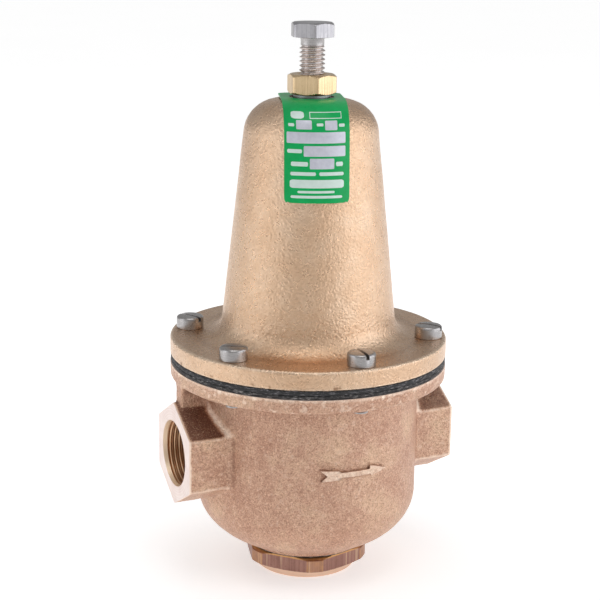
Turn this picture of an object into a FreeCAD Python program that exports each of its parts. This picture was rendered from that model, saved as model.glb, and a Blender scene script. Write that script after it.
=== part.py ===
import FreeCAD, Part
import math
import os

# Diaphragm-operated water pressure regulator, cast-bronze body with a bell-shaped spring cage.
# Millimetres. Origin on the vertical axis, at the underside of the bottom plug's round boss.
# +Z up along the adjusting screw, +X from the inlet towards the outlet.
# Angles phi are measured from -Y towards +X.

V = FreeCAD.Vector

# ---- driving dimensions -------------------------------------------------------------------
FLANGE_R = 52.96          # both flanges
BOLT_CIRCLE_R = 46.1
BOLT_ANGLES = (0, 60, 120, 180, 240, 300)

# bottom plug
PLUG_BOSS_R, PLUG_BOSS_TOP = 20.0, 3.6
PLUG_AF, PLUG_HEX_TOP = 45.0, 10.0
PLUG_CORNER_R = 24.46     # the hexagon's corners are turned down to this radius
PLUG_PHI = -15.0
PLUG_THREAD_R, PLUG_TOP = 19.95, 20.6
PLUG_BORE_R = 20.0
GUIDE_R = 4.05            # guide bore for the stem's tail
GUIDE_BOSS_R, GUIDE_TOP = 9.0, 26.0

# valve body
BODY_BOTTOM = 10.6
BODY_FACE_R = 24.5
BOWL_R = 42.6
BOWL_CORNER_R0, BOWL_CORNER_A, BOWL_CORNER_B, BOWL_CORNER_Z = 15.76, 26.84, 20.61, 31.98
WALL = 4.6
BODY_FLANGE_BOTTOM, BODY_TOP = 77.95, 83.35
CHAMBER_R = 38.0
MOUTH_R = 36.5

# ports, 3/4 inch pipe thread
PORT_Z = 51.7
PORT_AF = 35.0
PORT_END = 55.0
PORT_BORE_R = 12.3
PORT_THREAD_LEN = 18.0
PORT_PASSAGE_R = 10.5
PORT_CHAMFER = 1.3
PORT_MOUTH_R = 12.6
RIB_HALF, RIB_END = 3.4, 52.9

# partition between the inlet and outlet sides
PART_T = 4.0
SEAT_SLAB_LOW, SEAT_SLAB_TOP = 50.0, 55.0
SEAT_HOLE_R = 12.55

# clamped stack
GASKET_TOP = 84.85
CAGE_BOTTOM = 86.8
CAGE_FLANGE_TOP = 93.7

# spring cage
CAGE_CONE_R0, CAGE_CONE_Z0, CAGE_SLOPE = 32.3, 107.6, 0.1115
CAGE_FOOT_R = 8.0
CAGE_TOP = 183.1
CAGE_SHOULDER_R = 13.0
CAGE_WALL = 4.2
ROOF_UNDER = 175.5
ROOF_BOSS_R, ROOF_BOSS_LOW = 9.5, 171.0

# adjusting screw, 3/8-16
SCREW_R = 4.7625
SCREW_HOLE_R = 4.8125
SCREW_END = 152.0
SCREW_THREAD_TOP = 202.8
SCREW_NECK_R = 4.35
HEAD_LOW, HEAD_TOP, HEAD_AF, HEAD_PHI = 205.63, 211.2, 14.9, -16.9
NUT_LOW, NUT_TOP, NUT_AF, NUT_PHI = 185.2, 192.4, 16.6, -9.9
WASHER_R, WASHER_BORE_R = 7.0, 5.0

# flange screws, 1/4-20 slotted fillister head
FS_R, FS_HEAD_R, FS_HEAD_H, FS_END = 3.175, 5.2, 4.7, 75.8
FS_SLOT_W, FS_SLOT_D = 1.35, 1.7
FS_SLOT_PHI = {0: 0.0, 300: 62.0, 240: 27.0, 60: 39.0, 120: 75.0, 180: 10.0}

# stem assembly, drawn with the valve fully open
STEM_TAIL_R, STEM_R = 4.0, 5.0
STEM_LOW, STEM_SHOULDER_LOW, STEM_SHOULDER_TOP, STEM_TOP = 13.0, 44.2, 82.35, 99.0
HUB_BORE_R = 4.02
DISC_LOW, DISC_TOP, DISC_R = 39.5, 42.95, 13.0
HOLDER_LOW, HOLDER_RIM_TOP, HOLDER_R = 35.5, 42.0, 14.5
SEAT_LIP, SEAT_FLANGE_LOW, SEAT_FLANGE_TOP, SEAT_BORE_R = 46.0, 46.9, 49.0, 9.5

# range spring and its button
SPRING_WIRE_R, SPRING_MEAN_R, SPRING_TURNS = 2.4, 18.0, 8.0
PLATE_TOP = 89.3
BUTTON_LOW, BUTTON_R = 149.0, 20.6

# tag
TAG_PHI = -19.3
TAG_HALF_W = 11.75
TAG_GAP, TAG_T = 0.45, 0.5
TAG_LOW = 149.2
TAG_BACK = 13.0
TAG_HOLE_R = 8.3


# ---- helpers ------------------------------------------------------------------------------
def cyl(r, z0, z1, x=0.0, y=0.0):
    return Part.makeCylinder(r, z1 - z0, V(x, y, z0))


def ring(r0, r1, z0, z1):
    return cyl(r1, z0, z1).cut(cyl(r0, z0 - 1, z1 + 1))


def rev(path):
    """Closed (r, z) outline turned about Z. A three-value entry is (rm, zm, (r, z)): an arc."""
    edges = []
    p = path[0]
    for q in list(path[1:]) + [path[0]]:
        if len(q) == 3:
            e = q[2]
            edges.append(Part.Arc(V(p[0], 0, p[1]), V(q[0], 0, q[1]), V(e[0], 0, e[1])).toShape())
            p = e
        else:
            if abs(p[0] - q[0]) > 1e-9 or abs(p[1] - q[1]) > 1e-9:
                edges.append(Part.makeLine(V(p[0], 0, p[1]), V(q[0], 0, q[1])))
            p = q
    face = Part.Face(Part.Wire(edges))
    s = face.revolve(V(0, 0, 0), V(0, 0, 1), 360)
    return s if s.ShapeType == "Solid" else Part.Solid(s.Shells[0])


def hexagon(af, z0, z1, phi, x=0.0, y=0.0):
    """Upright hexagonal prism with one vertex at angle phi."""
    r = af / math.sqrt(3.0)
    pts = []
    for k in range(6):
        a = math.radians(phi + 60 * k)
        pts.append(V(x + r * math.sin(a), y - r * math.cos(a), z0))
    pts.append(pts[0])
    return Part.Face(Part.makePolygon(pts)).extrude(V(0, 0, z1 - z0))


def chamfer_top(shape, r_flat, z_top, big=60.0):
    """Turns the corners of a hexagon's top away at 30 degrees, starting from radius r_flat."""
    t = math.tan(math.radians(30))
    cone = rev([(0, z_top - 40), (big, z_top - 40), (big, z_top - (big - r_flat) * t),
                (r_flat, z_top), (0, z_top)])
    return shape.common(cone)


def chamfer_bottom(shape, r_flat, z_low, big=60.0):
    t = math.tan(math.radians(30))
    cone = rev([(0, z_low), (r_flat, z_low), (big, z_low + (big - r_flat) * t),
                (big, z_low + 40), (0, z_low + 40)])
    return shape.common(cone)


def polar(r, phi):
    a = math.radians(phi)
    return r * math.sin(a), -r * math.cos(a)


def save(name, shape):
    if shape.ShapeType == "Compound" and len(shape.Solids) == 1:
        shape = shape.Solids[0]
    solids = shape.Solids
    ok = shape.isValid() and all(s.isClosed() for s in solids)
    print("%-20s solids %d  volume %10.1f  valid %s" % (name, len(solids), shape.Volume, ok))
    shape.exportStep("parts/%s.step" % name)


os.makedirs("parts", exist_ok=True)


# ---- valve body ---------------------------------------------------------------------------
def bowl_z(r, a, b):
    return BOWL_CORNER_Z - b * math.sqrt(max(0.0, 1 - ((r - BOWL_CORNER_R0) / a) ** 2))


def ellipse_wire(a, b, r_from, r_to, n=9):
    """Corner curve of the bowl from radius r_from out to the vertical wall at r_to."""
    t0 = math.acos(min(1.0, (r_from - BOWL_CORNER_R0) / a)) if r_from > BOWL_CORNER_R0 else math.pi / 2
    pts = []
    for k in range(n + 1):
        t = t0 * (1 - k / n)
        pts.append(V(BOWL_CORNER_R0 + a * math.cos(t), 0, BOWL_CORNER_Z - b * math.sin(t)))
    c = Part.BSplineCurve()
    c.interpolate(pts)
    return c.toShape(), pts[0], pts[-1]


def rev_mixed(edges):
    face = Part.Face(Part.Wire(edges))
    s = face.revolve(V(0, 0, 0), V(0, 0, 1), 360)
    return s if s.ShapeType == "Solid" else Part.Solid(s.Shells[0])


def line(a, b):
    return Part.makeLine(V(a[0], 0, a[1]), V(b[0], 0, b[1]))


curve, c0, c1 = ellipse_wire(BOWL_CORNER_A, BOWL_CORNER_B, BODY_FACE_R, BOWL_R)
fr = 2.0
outer = rev_mixed([
    line((0, BODY_BOTTOM), (BODY_FACE_R, BODY_BOTTOM)),
    line((BODY_FACE_R, BODY_BOTTOM), (c0.x, c0.z)),
    curve,
    line((c1.x, c1.z), (BOWL_R, BODY_FLANGE_BOTTOM - fr)),
    Part.Arc(V(BOWL_R, 0, BODY_FLANGE_BOTTOM - fr),
             V(BOWL_R + fr * (1 - math.sqrt(0.5)), 0, BODY_FLANGE_BOTTOM - fr * (1 - math.sqrt(0.5))),
             V(BOWL_R + fr, 0, BODY_FLANGE_BOTTOM)).toShape(),
    line((BOWL_R + fr, BODY_FLANGE_BOTTOM), (FLANGE_R - 0.8, BODY_FLANGE_BOTTOM)),
    line((FLANGE_R - 0.8, BODY_FLANGE_BOTTOM), (FLANGE_R, BODY_FLANGE_BOTTOM + 0.8)),
    line((FLANGE_R, BODY_FLANGE_BOTTOM + 0.8), (FLANGE_R, BODY_TOP - 0.3)),
    line((FLANGE_R, BODY_TOP - 0.3), (FLANGE_R - 0.3, BODY_TOP)),
    line((FLANGE_R - 0.3, BODY_TOP), (0, BODY_TOP)),
    line((0, BODY_TOP), (0, BODY_BOTTOM)),
])

icurve, i0, i1 = ellipse_wire(CHAMBER_R - BOWL_CORNER_R0, BOWL_CORNER_B - WALL, BOWL_CORNER_R0, CHAMBER_R)
interior = rev_mixed([
    line((0, i0.z), (i0.x, i0.z)),
    icurve,
    line((i1.x, i1.z), (CHAMBER_R, BODY_FLANGE_BOTTOM)),
    line((CHAMBER_R, BODY_FLANGE_BOTTOM), (MOUTH_R, BODY_FLANGE_BOTTOM + 1.5)),
    line((MOUTH_R, BODY_FLANGE_BOTTOM + 1.5), (MOUTH_R, BODY_TOP)),
    line((MOUTH_R, BODY_TOP), (0, BODY_TOP)),
    line((0, BODY_TOP), (0, i0.z)),
])

body = outer
for side in (-1, 1):
    r = PORT_AF / math.sqrt(3.0)
    x_in = side * 26.0
    pts = [V(x_in, r * math.sin(math.radians(60 * k)), PORT_Z + r * math.cos(math.radians(60 * k)))
           for k in range(6)]
    pts.append(pts[0])
    hexp = Part.Face(Part.makePolygon(pts)).extrude(V(side * (PORT_END - 26.0), 0, 0))
    body = body.fuse(hexp)
    x0 = 36.0 if side > 0 else -RIB_END
    body = body.fuse(Part.makeBox(RIB_END - 36.0, 2 * RIB_HALF, BODY_FLANGE_BOTTOM + 0.5 - 69.0,
                                  V(x0, -RIB_HALF, 69.0)))
body = body.cut(interior)

# S-shaped partition: over the inlet, through the seat, under the outlet
t = PART_T
s_pts = [(-45, 68.5), (-16, 68.5), (-16, SEAT_SLAB_TOP), (20.5, SEAT_SLAB_TOP), (20.5, 39.5), (45, 39.5),
         (45, 35.5), (16.5, 35.5), (16.5, SEAT_SLAB_LOW), (-20, SEAT_SLAB_LOW), (-20, 64.5), (-45, 64.5)]
wire = Part.makePolygon([V(x, -45, z) for x, z in s_pts] + [V(s_pts[0][0], -45, s_pts[0][1])])
partition = Part.Face(wire).extrude(V(0, 90, 0)).common(cyl(CHAMBER_R + 1.5, 15, 82))
partition = partition.cut(cyl(SEAT_HOLE_R, SEAT_SLAB_LOW - 1, SEAT_SLAB_TOP + 1))
body = body.fuse(partition)

# inner ring around the plug's thread
body = body.fuse(ring(PLUG_BORE_R, BODY_FACE_R, BODY_BOTTOM + 1, PLUG_TOP))
body = body.cut(cyl(PLUG_BORE_R, BODY_BOTTOM - 1, PLUG_TOP + 1))

# ports
for side in (-1, 1):
    d = V(side, 0, 0)
    depth = PORT_THREAD_LEN + PORT_CHAMFER
    bore = Part.makeCylinder(PORT_BORE_R, depth, V(side * PORT_END, 0, PORT_Z), V(-side, 0, 0))
    mouth = Part.makeCone(PORT_MOUTH_R, PORT_BORE_R, PORT_CHAMFER,
                          V(side * PORT_END, 0, PORT_Z), V(-side, 0, 0))
    throat = Part.makeCylinder(PORT_PASSAGE_R, PORT_END - 30.0, V(side * PORT_END, 0, PORT_Z), V(-side, 0, 0))
    body = body.cut(bore).cut(mouth).cut(throat)

for phi in BOLT_ANGLES:
    x, y = polar(BOLT_CIRCLE_R, phi)
    body = body.cut(cyl(FS_R + 0.02, BODY_FLANGE_BOTTOM - 4, BODY_TOP + 1, x, y))

# raised flow arrow on the front of the bowl
az = PORT_Z - 0.6
arrow = [(-12.9, az + 2.1), (-6.4, az + 1.7), (-5.2, az + 0.95), (5.9, az + 0.9), (6.2, az + 2.15), (8.2, az + 1.6),
         (13.2, az - 0.1), (10.2, az - 1.0), (6.9, az - 1.7), (6.3, az - 1.0), (-5.2, az - 1.0), (-5.8, az - 1.75),
         (-12.7, az - 2.2), (-10.5, az - 0.15)]
wire = Part.makePolygon([V(x, -50, z) for x, z in arrow] + [V(arrow[0][0], -50, arrow[0][1])])
mark = Part.Face(wire).extrude(V(0, 15, 0)).common(cyl(BOWL_R + 0.7, az - 6, az + 6)).cut(cyl(BOWL_R - 1, az - 7, az + 7))
body = body.fuse(mark).removeSplitter()
save("valve_body", body)


# ---- bottom plug and its gasket -----------------------------------------------------------
plug = hexagon(PLUG_AF, PLUG_BOSS_TOP, PLUG_HEX_TOP, PLUG_PHI).common(cyl(PLUG_CORNER_R, 0, 20))
plug = chamfer_top(plug, 22.6, PLUG_HEX_TOP)
plug = chamfer_bottom(plug, 22.4, PLUG_BOSS_TOP)
plug = plug.fuse(rev([(0, 0), (PLUG_BOSS_R - 0.6, 0), (PLUG_BOSS_R, 0.6), (PLUG_BOSS_R, PLUG_BOSS_TOP + 1),
                      (0, PLUG_BOSS_TOP + 1)]))
plug = plug.fuse(rev([(0, 8), (PLUG_THREAD_R, 8), (PLUG_THREAD_R, PLUG_TOP - 0.8), (PLUG_THREAD_R - 0.8, PLUG_TOP),
                      (0, PLUG_TOP)]))
plug = plug.cut(ring(GUIDE_BOSS_R, 15.5, 12.0, PLUG_TOP + 1))
plug = plug.fuse(rev([(0, 11), (GUIDE_BOSS_R, 11), (GUIDE_BOSS_R, GUIDE_TOP - 1), (GUIDE_BOSS_R - 1, GUIDE_TOP),
                      (0, GUIDE_TOP)]))
plug = plug.cut(cyl(GUIDE_R, 9.0, GUIDE_TOP + 1)).removeSplitter()
save("bottom_plug", plug)
save("plug_gasket", ring(20.02, 23.4, PLUG_HEX_TOP, BODY_BOTTOM))


# ---- seat ---------------------------------------------------------------------------------
seat = rev([(SEAT_BORE_R, SEAT_LIP), (SEAT_BORE_R + 1.4, SEAT_LIP), (SEAT_BORE_R + 1.9, SEAT_FLANGE_LOW),
            (15.2, SEAT_FLANGE_LOW), (15.2, SEAT_FLANGE_TOP), (SEAT_HOLE_R - 0.03, SEAT_FLANGE_TOP),
            (SEAT_HOLE_R - 0.03, 55.6), (SEAT_BORE_R + 0.8, 55.6), (SEAT_BORE_R, 54.6)])
save("valve_seat", seat)
save("seat_gasket", ring(SEAT_HOLE_R + 0.05, 15.2, SEAT_FLANGE_TOP, SEAT_SLAB_LOW))


# ---- clamped rims -------------------------------------------------------------------------
def drilled(shape, r, z0, z1):
    for phi in BOLT_ANGLES:
        x, y = polar(BOLT_CIRCLE_R, phi)
        shape = shape.cut(cyl(r, z0 - 1, z1 + 1, x, y))
    return shape


save("diaphragm_gasket", drilled(ring(MOUTH_R, FLANGE_R - 0.1, BODY_TOP, GASKET_TOP), 3.5, BODY_TOP, GASKET_TOP))
save("diaphragm", drilled(ring(HUB_BORE_R, FLANGE_R - 0.05, GASKET_TOP, CAGE_BOTTOM), 3.5, GASKET_TOP, CAGE_BOTTOM))


# ---- spring cage --------------------------------------------------------------------------
def cone_r(z):
    return CAGE_CONE_R0 - CAGE_SLOPE * (z - CAGE_CONE_Z0)


BETA = math.atan(CAGE_SLOPE)


def bell(off, z_low):
    """Outline from the top centre down the flank to z_low, offset outwards by off: (r, z) path entries."""
    rs = CAGE_SHOULDER_R
    zc = CAGE_TOP - rs
    rc = cone_r(zc) - rs / math.cos(BETA) + rs * math.tan(BETA) * 0.0
    rc = cone_r(zc + rs * math.sin(BETA)) - rs * math.cos(BETA)
    R = rs + off
    mid = math.radians(45) + BETA / 2
    flank = (rc + R * math.cos(BETA), zc + R * math.sin(BETA))
    low_r = cone_r(z_low) + off / math.cos(BETA)
    return [(0, zc + R), (rc, zc + R), (rc + R * math.cos(mid), zc + R * math.sin(mid), flank), (low_r, z_low)]


foot_zc = CAGE_FLANGE_TOP + CAGE_FOOT_R
foot_rc = cone_r(foot_zc) + CAGE_FOOT_R / math.cos(BETA)
foot_top = (foot_rc - CAGE_FOOT_R * math.cos(BETA), foot_zc - CAGE_FOOT_R * math.sin(BETA))
foot_mid_a = (math.pi + BETA + 1.5 * math.pi) / 2
path = bell(0.0, foot_top[1])[:-1] + [
    foot_top,
    (foot_rc + CAGE_FOOT_R * math.cos(foot_mid_a), foot_zc + CAGE_FOOT_R * math.sin(foot_mid_a),
     (foot_rc, CAGE_FLANGE_TOP)),
    (FLANGE_R - 0.9, CAGE_FLANGE_TOP), (FLANGE_R - 0.26, CAGE_FLANGE_TOP - 0.26, (FLANGE_R, CAGE_FLANGE_TOP - 0.9)),
    (FLANGE_R, CAGE_BOTTOM + 0.3), (FLANGE_R - 0.3, CAGE_BOTTOM),
    (0, CAGE_BOTTOM)]
cage = rev(path)
hollow = rev([(0, CAGE_BOTTOM - 1), (MOUTH_R, CAGE_BOTTOM - 1), (MOUTH_R, 89.5), (cone_r(103) - CAGE_WALL, 103.0),
              (cone_r(168) - CAGE_WALL, 168.0), (cone_r(168) - CAGE_WALL - 4.0, ROOF_UNDER),
              (ROOF_BOSS_R, ROOF_UNDER), (ROOF_BOSS_R, ROOF_BOSS_LOW), (0, ROOF_BOSS_LOW)])
cage = cage.cut(hollow).cut(cyl(SCREW_HOLE_R, ROOF_BOSS_LOW - 1, CAGE_TOP + 1))
cage = drilled(cage, 3.45, CAGE_BOTTOM, CAGE_FLANGE_TOP)
save("spring_cage", cage)

# ---- flange screws ------------------------------------------------------------------------
screws = []
for phi in BOLT_ANGLES:
    x, y = polar(BOLT_CIRCLE_R, phi)
    s = rev([(0, FS_END), (FS_R - 0.6, FS_END), (FS_R, FS_END + 0.6), (FS_R, CAGE_FLANGE_TOP),
             (FS_HEAD_R, CAGE_FLANGE_TOP), (FS_HEAD_R, CAGE_FLANGE_TOP + FS_HEAD_H - 1.0),
             (FS_HEAD_R - 0.3, CAGE_FLANGE_TOP + FS_HEAD_H - 0.35, (FS_HEAD_R - 1.0, CAGE_FLANGE_TOP + FS_HEAD_H)),
             (0, CAGE_FLANGE_TOP + FS_HEAD_H + 0.25)])
    slot = Part.makeBox(FS_SLOT_W, 14, 4, V(-FS_SLOT_W / 2, -7, CAGE_FLANGE_TOP + FS_HEAD_H - FS_SLOT_D))
    slot.rotate(V(0, 0, 0), V(0, 0, 1), FS_SLOT_PHI[phi])
    s = s.cut(slot)
    s.translate(V(x, y, 0))
    screws.append(s)
save("flange_screws", Part.makeCompound(screws))

# ---- stem assembly ------------------------------------------------------------------------
stem = rev([(0, STEM_LOW), (STEM_TAIL_R - 0.6, STEM_LOW), (STEM_TAIL_R, STEM_LOW + 0.6),
            (STEM_TAIL_R, STEM_SHOULDER_LOW), (STEM_R, STEM_SHOULDER_LOW), (STEM_R, STEM_SHOULDER_TOP),
            (STEM_TAIL_R, STEM_SHOULDER_TOP), (STEM_TAIL_R, STEM_TOP - 0.7), (STEM_TAIL_R - 0.7, STEM_TOP),
            (0, STEM_TOP)])
save("stem", stem)
save("disc_washer", ring(HUB_BORE_R, 7.0, DISC_TOP, STEM_SHOULDER_LOW))
save("seat_disc", ring(HUB_BORE_R, DISC_R, DISC_LOW, DISC_TOP))
save("disc_holder", rev([(HUB_BORE_R, HOLDER_LOW), (HOLDER_R - 3, HOLDER_LOW), (HOLDER_R, HOLDER_LOW + 2),
                         (HOLDER_R, HOLDER_RIM_TOP), (DISC_R + 0.03, HOLDER_RIM_TOP), (DISC_R + 0.03, DISC_LOW),
                         (HUB_BORE_R, DISC_LOW)]))
nut = hexagon(13.0, 30.6, HOLDER_LOW, 20.0)
nut = chamfer_bottom(nut, 6.2, 30.6).cut(cyl(HUB_BORE_R, 29, 37))
save("disc_nut", nut)
save("lower_plate", rev([(HUB_BORE_R, STEM_SHOULDER_TOP), (20.0, STEM_SHOULDER_TOP), (24.0, STEM_SHOULDER_TOP + 1.2),
                         (24.0, GASKET_TOP), (HUB_BORE_R, GASKET_TOP)]))
save("upper_plate", rev([(HUB_BORE_R, CAGE_BOTTOM), (27.0, CAGE_BOTTOM), (27.0, PLATE_TOP), (15.2, PLATE_TOP),
                         (14.7, 93.3), (12.4, 93.3), (12.4, PLATE_TOP), (HUB_BORE_R, PLATE_TOP)]))
save("plate_washer", ring(HUB_BORE_R, 8.0, PLATE_TOP, 90.8))
nut = chamfer_top(hexagon(13.0, 90.8, 97.3, 5.0), 6.3, 97.3).cut(cyl(HUB_BORE_R, 89, 99))
save("diaphragm_nut", nut)

# ---- range spring and button --------------------------------------------------------------
z0 = PLATE_TOP + SPRING_WIRE_R + 0.02
z1 = BUTTON_LOW - SPRING_WIRE_R - 0.02
helix = Part.makeHelix((z1 - z0) / SPRING_TURNS, z1 - z0, SPRING_MEAN_R)
wire = Part.Wire(helix.Edges)
wire.translate(V(0, 0, z0))
start = wire.Edges[0].valueAt(wire.Edges[0].FirstParameter)
tangent = wire.Edges[0].tangentAt(wire.Edges[0].FirstParameter)
prof = Part.Wire(Part.makeCircle(SPRING_WIRE_R, start, tangent))
pipe = Part.BRepOffsetAPI.MakePipeShell(wire)
pipe.setFrenetMode(True)
pipe.add(prof)
pipe.build()
pipe.makeSolid()
spring = pipe.shape()
save("range_spring", spring)

button = rev([(0, BUTTON_LOW + 0.5), (11.0, BUTTON_LOW + 0.5), (11.0, BUTTON_LOW - 4), (14.6, BUTTON_LOW - 4),
              (15.1, BUTTON_LOW), (BUTTON_R, BUTTON_LOW), (BUTTON_R, BUTTON_LOW + 2.4), (BUTTON_R - 0.6, BUTTON_LOW + 3),
              (12.0, BUTTON_LOW + 3.4), (8.5, BUTTON_LOW + 7), (5.6, BUTTON_LOW + 7), (5.1, BUTTON_LOW + 6.4),
              (5.1, SCREW_END - 0.02), (0, SCREW_END - 0.02)])
save("spring_button", button)

# ---- adjusting screw, lock washer, lock nut -----------------------------------------------
screw = rev([(0, SCREW_END), (SCREW_R - 1.2, SCREW_END), (SCREW_R, SCREW_END + 1.2), (SCREW_R, SCREW_THREAD_TOP),
             (SCREW_NECK_R, SCREW_THREAD_TOP + 0.5), (SCREW_NECK_R, HEAD_LOW + 0.5), (0, HEAD_LOW + 0.5)])
head = chamfer_top(hexagon(HEAD_AF, HEAD_LOW, HEAD_TOP, HEAD_PHI), HEAD_AF / 2 - 0.35, HEAD_TOP)
save("adjusting_screw", screw.fuse(head).removeSplitter())
save("lock_washer", ring(WASHER_BORE_R, WASHER_R, CAGE_TOP, NUT_LOW))
nut = hexagon(NUT_AF, NUT_LOW, NUT_TOP, NUT_PHI)
nut = chamfer_bottom(chamfer_top(nut, NUT_AF / 2 - 0.2, NUT_TOP), NUT_AF / 2 - 0.1, NUT_LOW)
nut = nut.cut(cyl(SCREW_HOLE_R, NUT_LOW - 1, NUT_TOP + 1))
save("lock_nut", nut)

# ---- tag ----------------------------------------------------------------------------------
shell = rev(bell(TAG_GAP + TAG_T, TAG_LOW - 5) + [(0, TAG_LOW - 5)]).cut(
    rev(bell(TAG_GAP, TAG_LOW - 6) + [(0, TAG_LOW - 6)]))


def rounded(x0, x1, y0, y1, r, fwd):
    """Rounded rectangle as a face in the plane given by fwd (a function of two coordinates)."""
    k = r * (1 - math.sqrt(0.5))
    e = [Part.makeLine(fwd(x0 + r, y0), fwd(x1 - r, y0)),
         Part.Arc(fwd(x1 - r, y0), fwd(x1 - k, y0 + k), fwd(x1, y0 + r)).toShape(),
         Part.makeLine(fwd(x1, y0 + r), fwd(x1, y1)),
         Part.makeLine(fwd(x1, y1), fwd(x0, y1)),
         Part.makeLine(fwd(x0, y1), fwd(x0, y0 + r)),
         Part.Arc(fwd(x0, y0 + r), fwd(x0 + k, y0 + k), fwd(x0 + r, y0)).toShape()]
    return Part.Face(Part.Wire(e))


front = rounded(-TAG_HALF_W, TAG_HALF_W, TAG_LOW, 190, 2.4, lambda a, b: V(a, 0, b)).extrude(V(0, -40, 0))
back = rounded(-TAG_HALF_W, TAG_HALF_W, -TAG_BACK, 0.5, 3.0, lambda a, b: V(a, -b, 180)).extrude(V(0, 0, 10))
tag = shell.common(front.fuse(back)).cut(cyl(TAG_HOLE_R, 180, 190))
tag.rotate(V(0, 0, 0), V(0, 0, 1), TAG_PHI)
save("name_tag", tag.removeSplitter())
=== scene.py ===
import math
import bpy
import bmesh
import numpy as np
from mathutils import Vector, Matrix
from mathutils.geometry import tessellate_polygon


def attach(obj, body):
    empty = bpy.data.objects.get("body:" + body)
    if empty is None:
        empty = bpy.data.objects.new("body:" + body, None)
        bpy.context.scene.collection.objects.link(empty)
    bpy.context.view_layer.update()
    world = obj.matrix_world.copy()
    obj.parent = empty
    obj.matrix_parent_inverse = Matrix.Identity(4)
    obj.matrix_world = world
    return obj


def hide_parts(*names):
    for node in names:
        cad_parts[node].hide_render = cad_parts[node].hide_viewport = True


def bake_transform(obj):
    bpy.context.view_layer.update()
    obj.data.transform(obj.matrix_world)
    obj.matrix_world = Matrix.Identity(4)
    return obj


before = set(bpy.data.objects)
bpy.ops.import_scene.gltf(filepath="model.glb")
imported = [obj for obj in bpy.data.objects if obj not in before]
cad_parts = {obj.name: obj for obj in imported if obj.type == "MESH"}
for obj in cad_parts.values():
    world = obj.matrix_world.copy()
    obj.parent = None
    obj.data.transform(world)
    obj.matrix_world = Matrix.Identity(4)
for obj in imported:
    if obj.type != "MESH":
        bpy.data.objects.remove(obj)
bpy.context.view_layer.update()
MM = 0.001
TAU = 2 * math.pi

# =====================================================================================
# dimensions, millimetres, in the frame of the CAD model
# =====================================================================================
FLANGE_R = 52.96
BOLT_R = 46.1
BETA = math.atan(0.1115)
PORT_Z, PORT_END = 51.7, 55.0
TAG_PHI = -19.3


def cone_r(z):
    return 32.3 - 0.1115 * (z - 107.6)


def polar(r, phi):
    a = math.radians(phi)
    return r * math.sin(a), -r * math.cos(a)


# =====================================================================================
# mesh helpers
# =====================================================================================
def new_object(name, verts, faces, smooth=True):
    me = bpy.data.meshes.new(name)
    v = np.asarray(verts, float) * MM
    me.from_pydata(v.tolist(), [], faces)
    me.validate()
    me.update()
    ob = bpy.data.objects.new(name, me)
    bpy.context.scene.collection.objects.link(ob)
    if smooth:
        me.polygons.foreach_set("use_smooth", np.ones(len(me.polygons), bool))
    return ob


def recalc(ob):
    bm = bmesh.new()
    bm.from_mesh(ob.data)
    bmesh.ops.recalc_face_normals(bm, faces=bm.faces)
    bm.to_mesh(ob.data)
    bm.free()


def lathe(name, prof, seg=192, closed=False, smooth=True):
    """Turn a list of (r, z) about Z. Ends at r = 0 close on a pole; closed joins the last point to the first."""
    verts, rows = [], []
    for r, z in prof:
        if r < 1e-6:
            rows.append([len(verts)])
            verts.append((0, 0, z))
        else:
            a = np.arange(seg) * TAU / seg
            rows.append(list(range(len(verts), len(verts) + seg)))
            verts.extend(zip(r * np.cos(a), r * np.sin(a), np.full(seg, z)))
    faces = []
    pairs = list(zip(rows[:-1], rows[1:]))
    if closed:
        pairs.append((rows[-1], rows[0]))
    for A, B in pairs:
        if len(A) == 1 and len(B) == 1:
            continue
        for i in range(seg):
            j = (i + 1) % seg
            if len(A) == 1:
                faces.append((A[0], B[j], B[i]))
            elif len(B) == 1:
                faces.append((A[i], A[j], B[0]))
            else:
                faces.append((A[i], A[j], B[j], B[i]))
    ob = new_object(name, verts, faces, smooth)
    recalc(ob)
    return ob


def dense(path, step):
    """Points along a polyline no further apart than step."""
    out = [path[0]]
    for p, q in zip(path[:-1], path[1:]):
        n = max(1, int(math.ceil(math.hypot(q[0] - p[0], q[1] - p[1]) / step)))
        for k in range(1, n + 1):
            out.append((p[0] + (q[0] - p[0]) * k / n, p[1] + (q[1] - p[1]) * k / n))
    return out


def arc(cx, cz, r, a0, a1, n):
    return [(cx + r * math.cos(math.radians(a0 + (a1 - a0) * k / n)),
             cz + r * math.sin(math.radians(a0 + (a1 - a0) * k / n))) for k in range(n + 1)]


def hex_radius(af, phi0, phi, corner=0.25):
    """Distance from the axis to a hexagon's side at angle phi; one vertex is at phi0."""
    d = (phi - phi0) % 60.0
    r = af / 2 / math.cos(math.radians(d - 30.0))
    if corner <= 0:
        return r
    rmax = af / math.sqrt(3) - corner
    k = 0.12 + corner * 0.5
    # smooth minimum of the flat side and the turned corner
    h = max(0.0, min(1.0, 0.5 + 0.5 * (rmax - r) / k))
    return rmax * (1 - h) + r * h - k * h * (1 - h)


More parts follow.
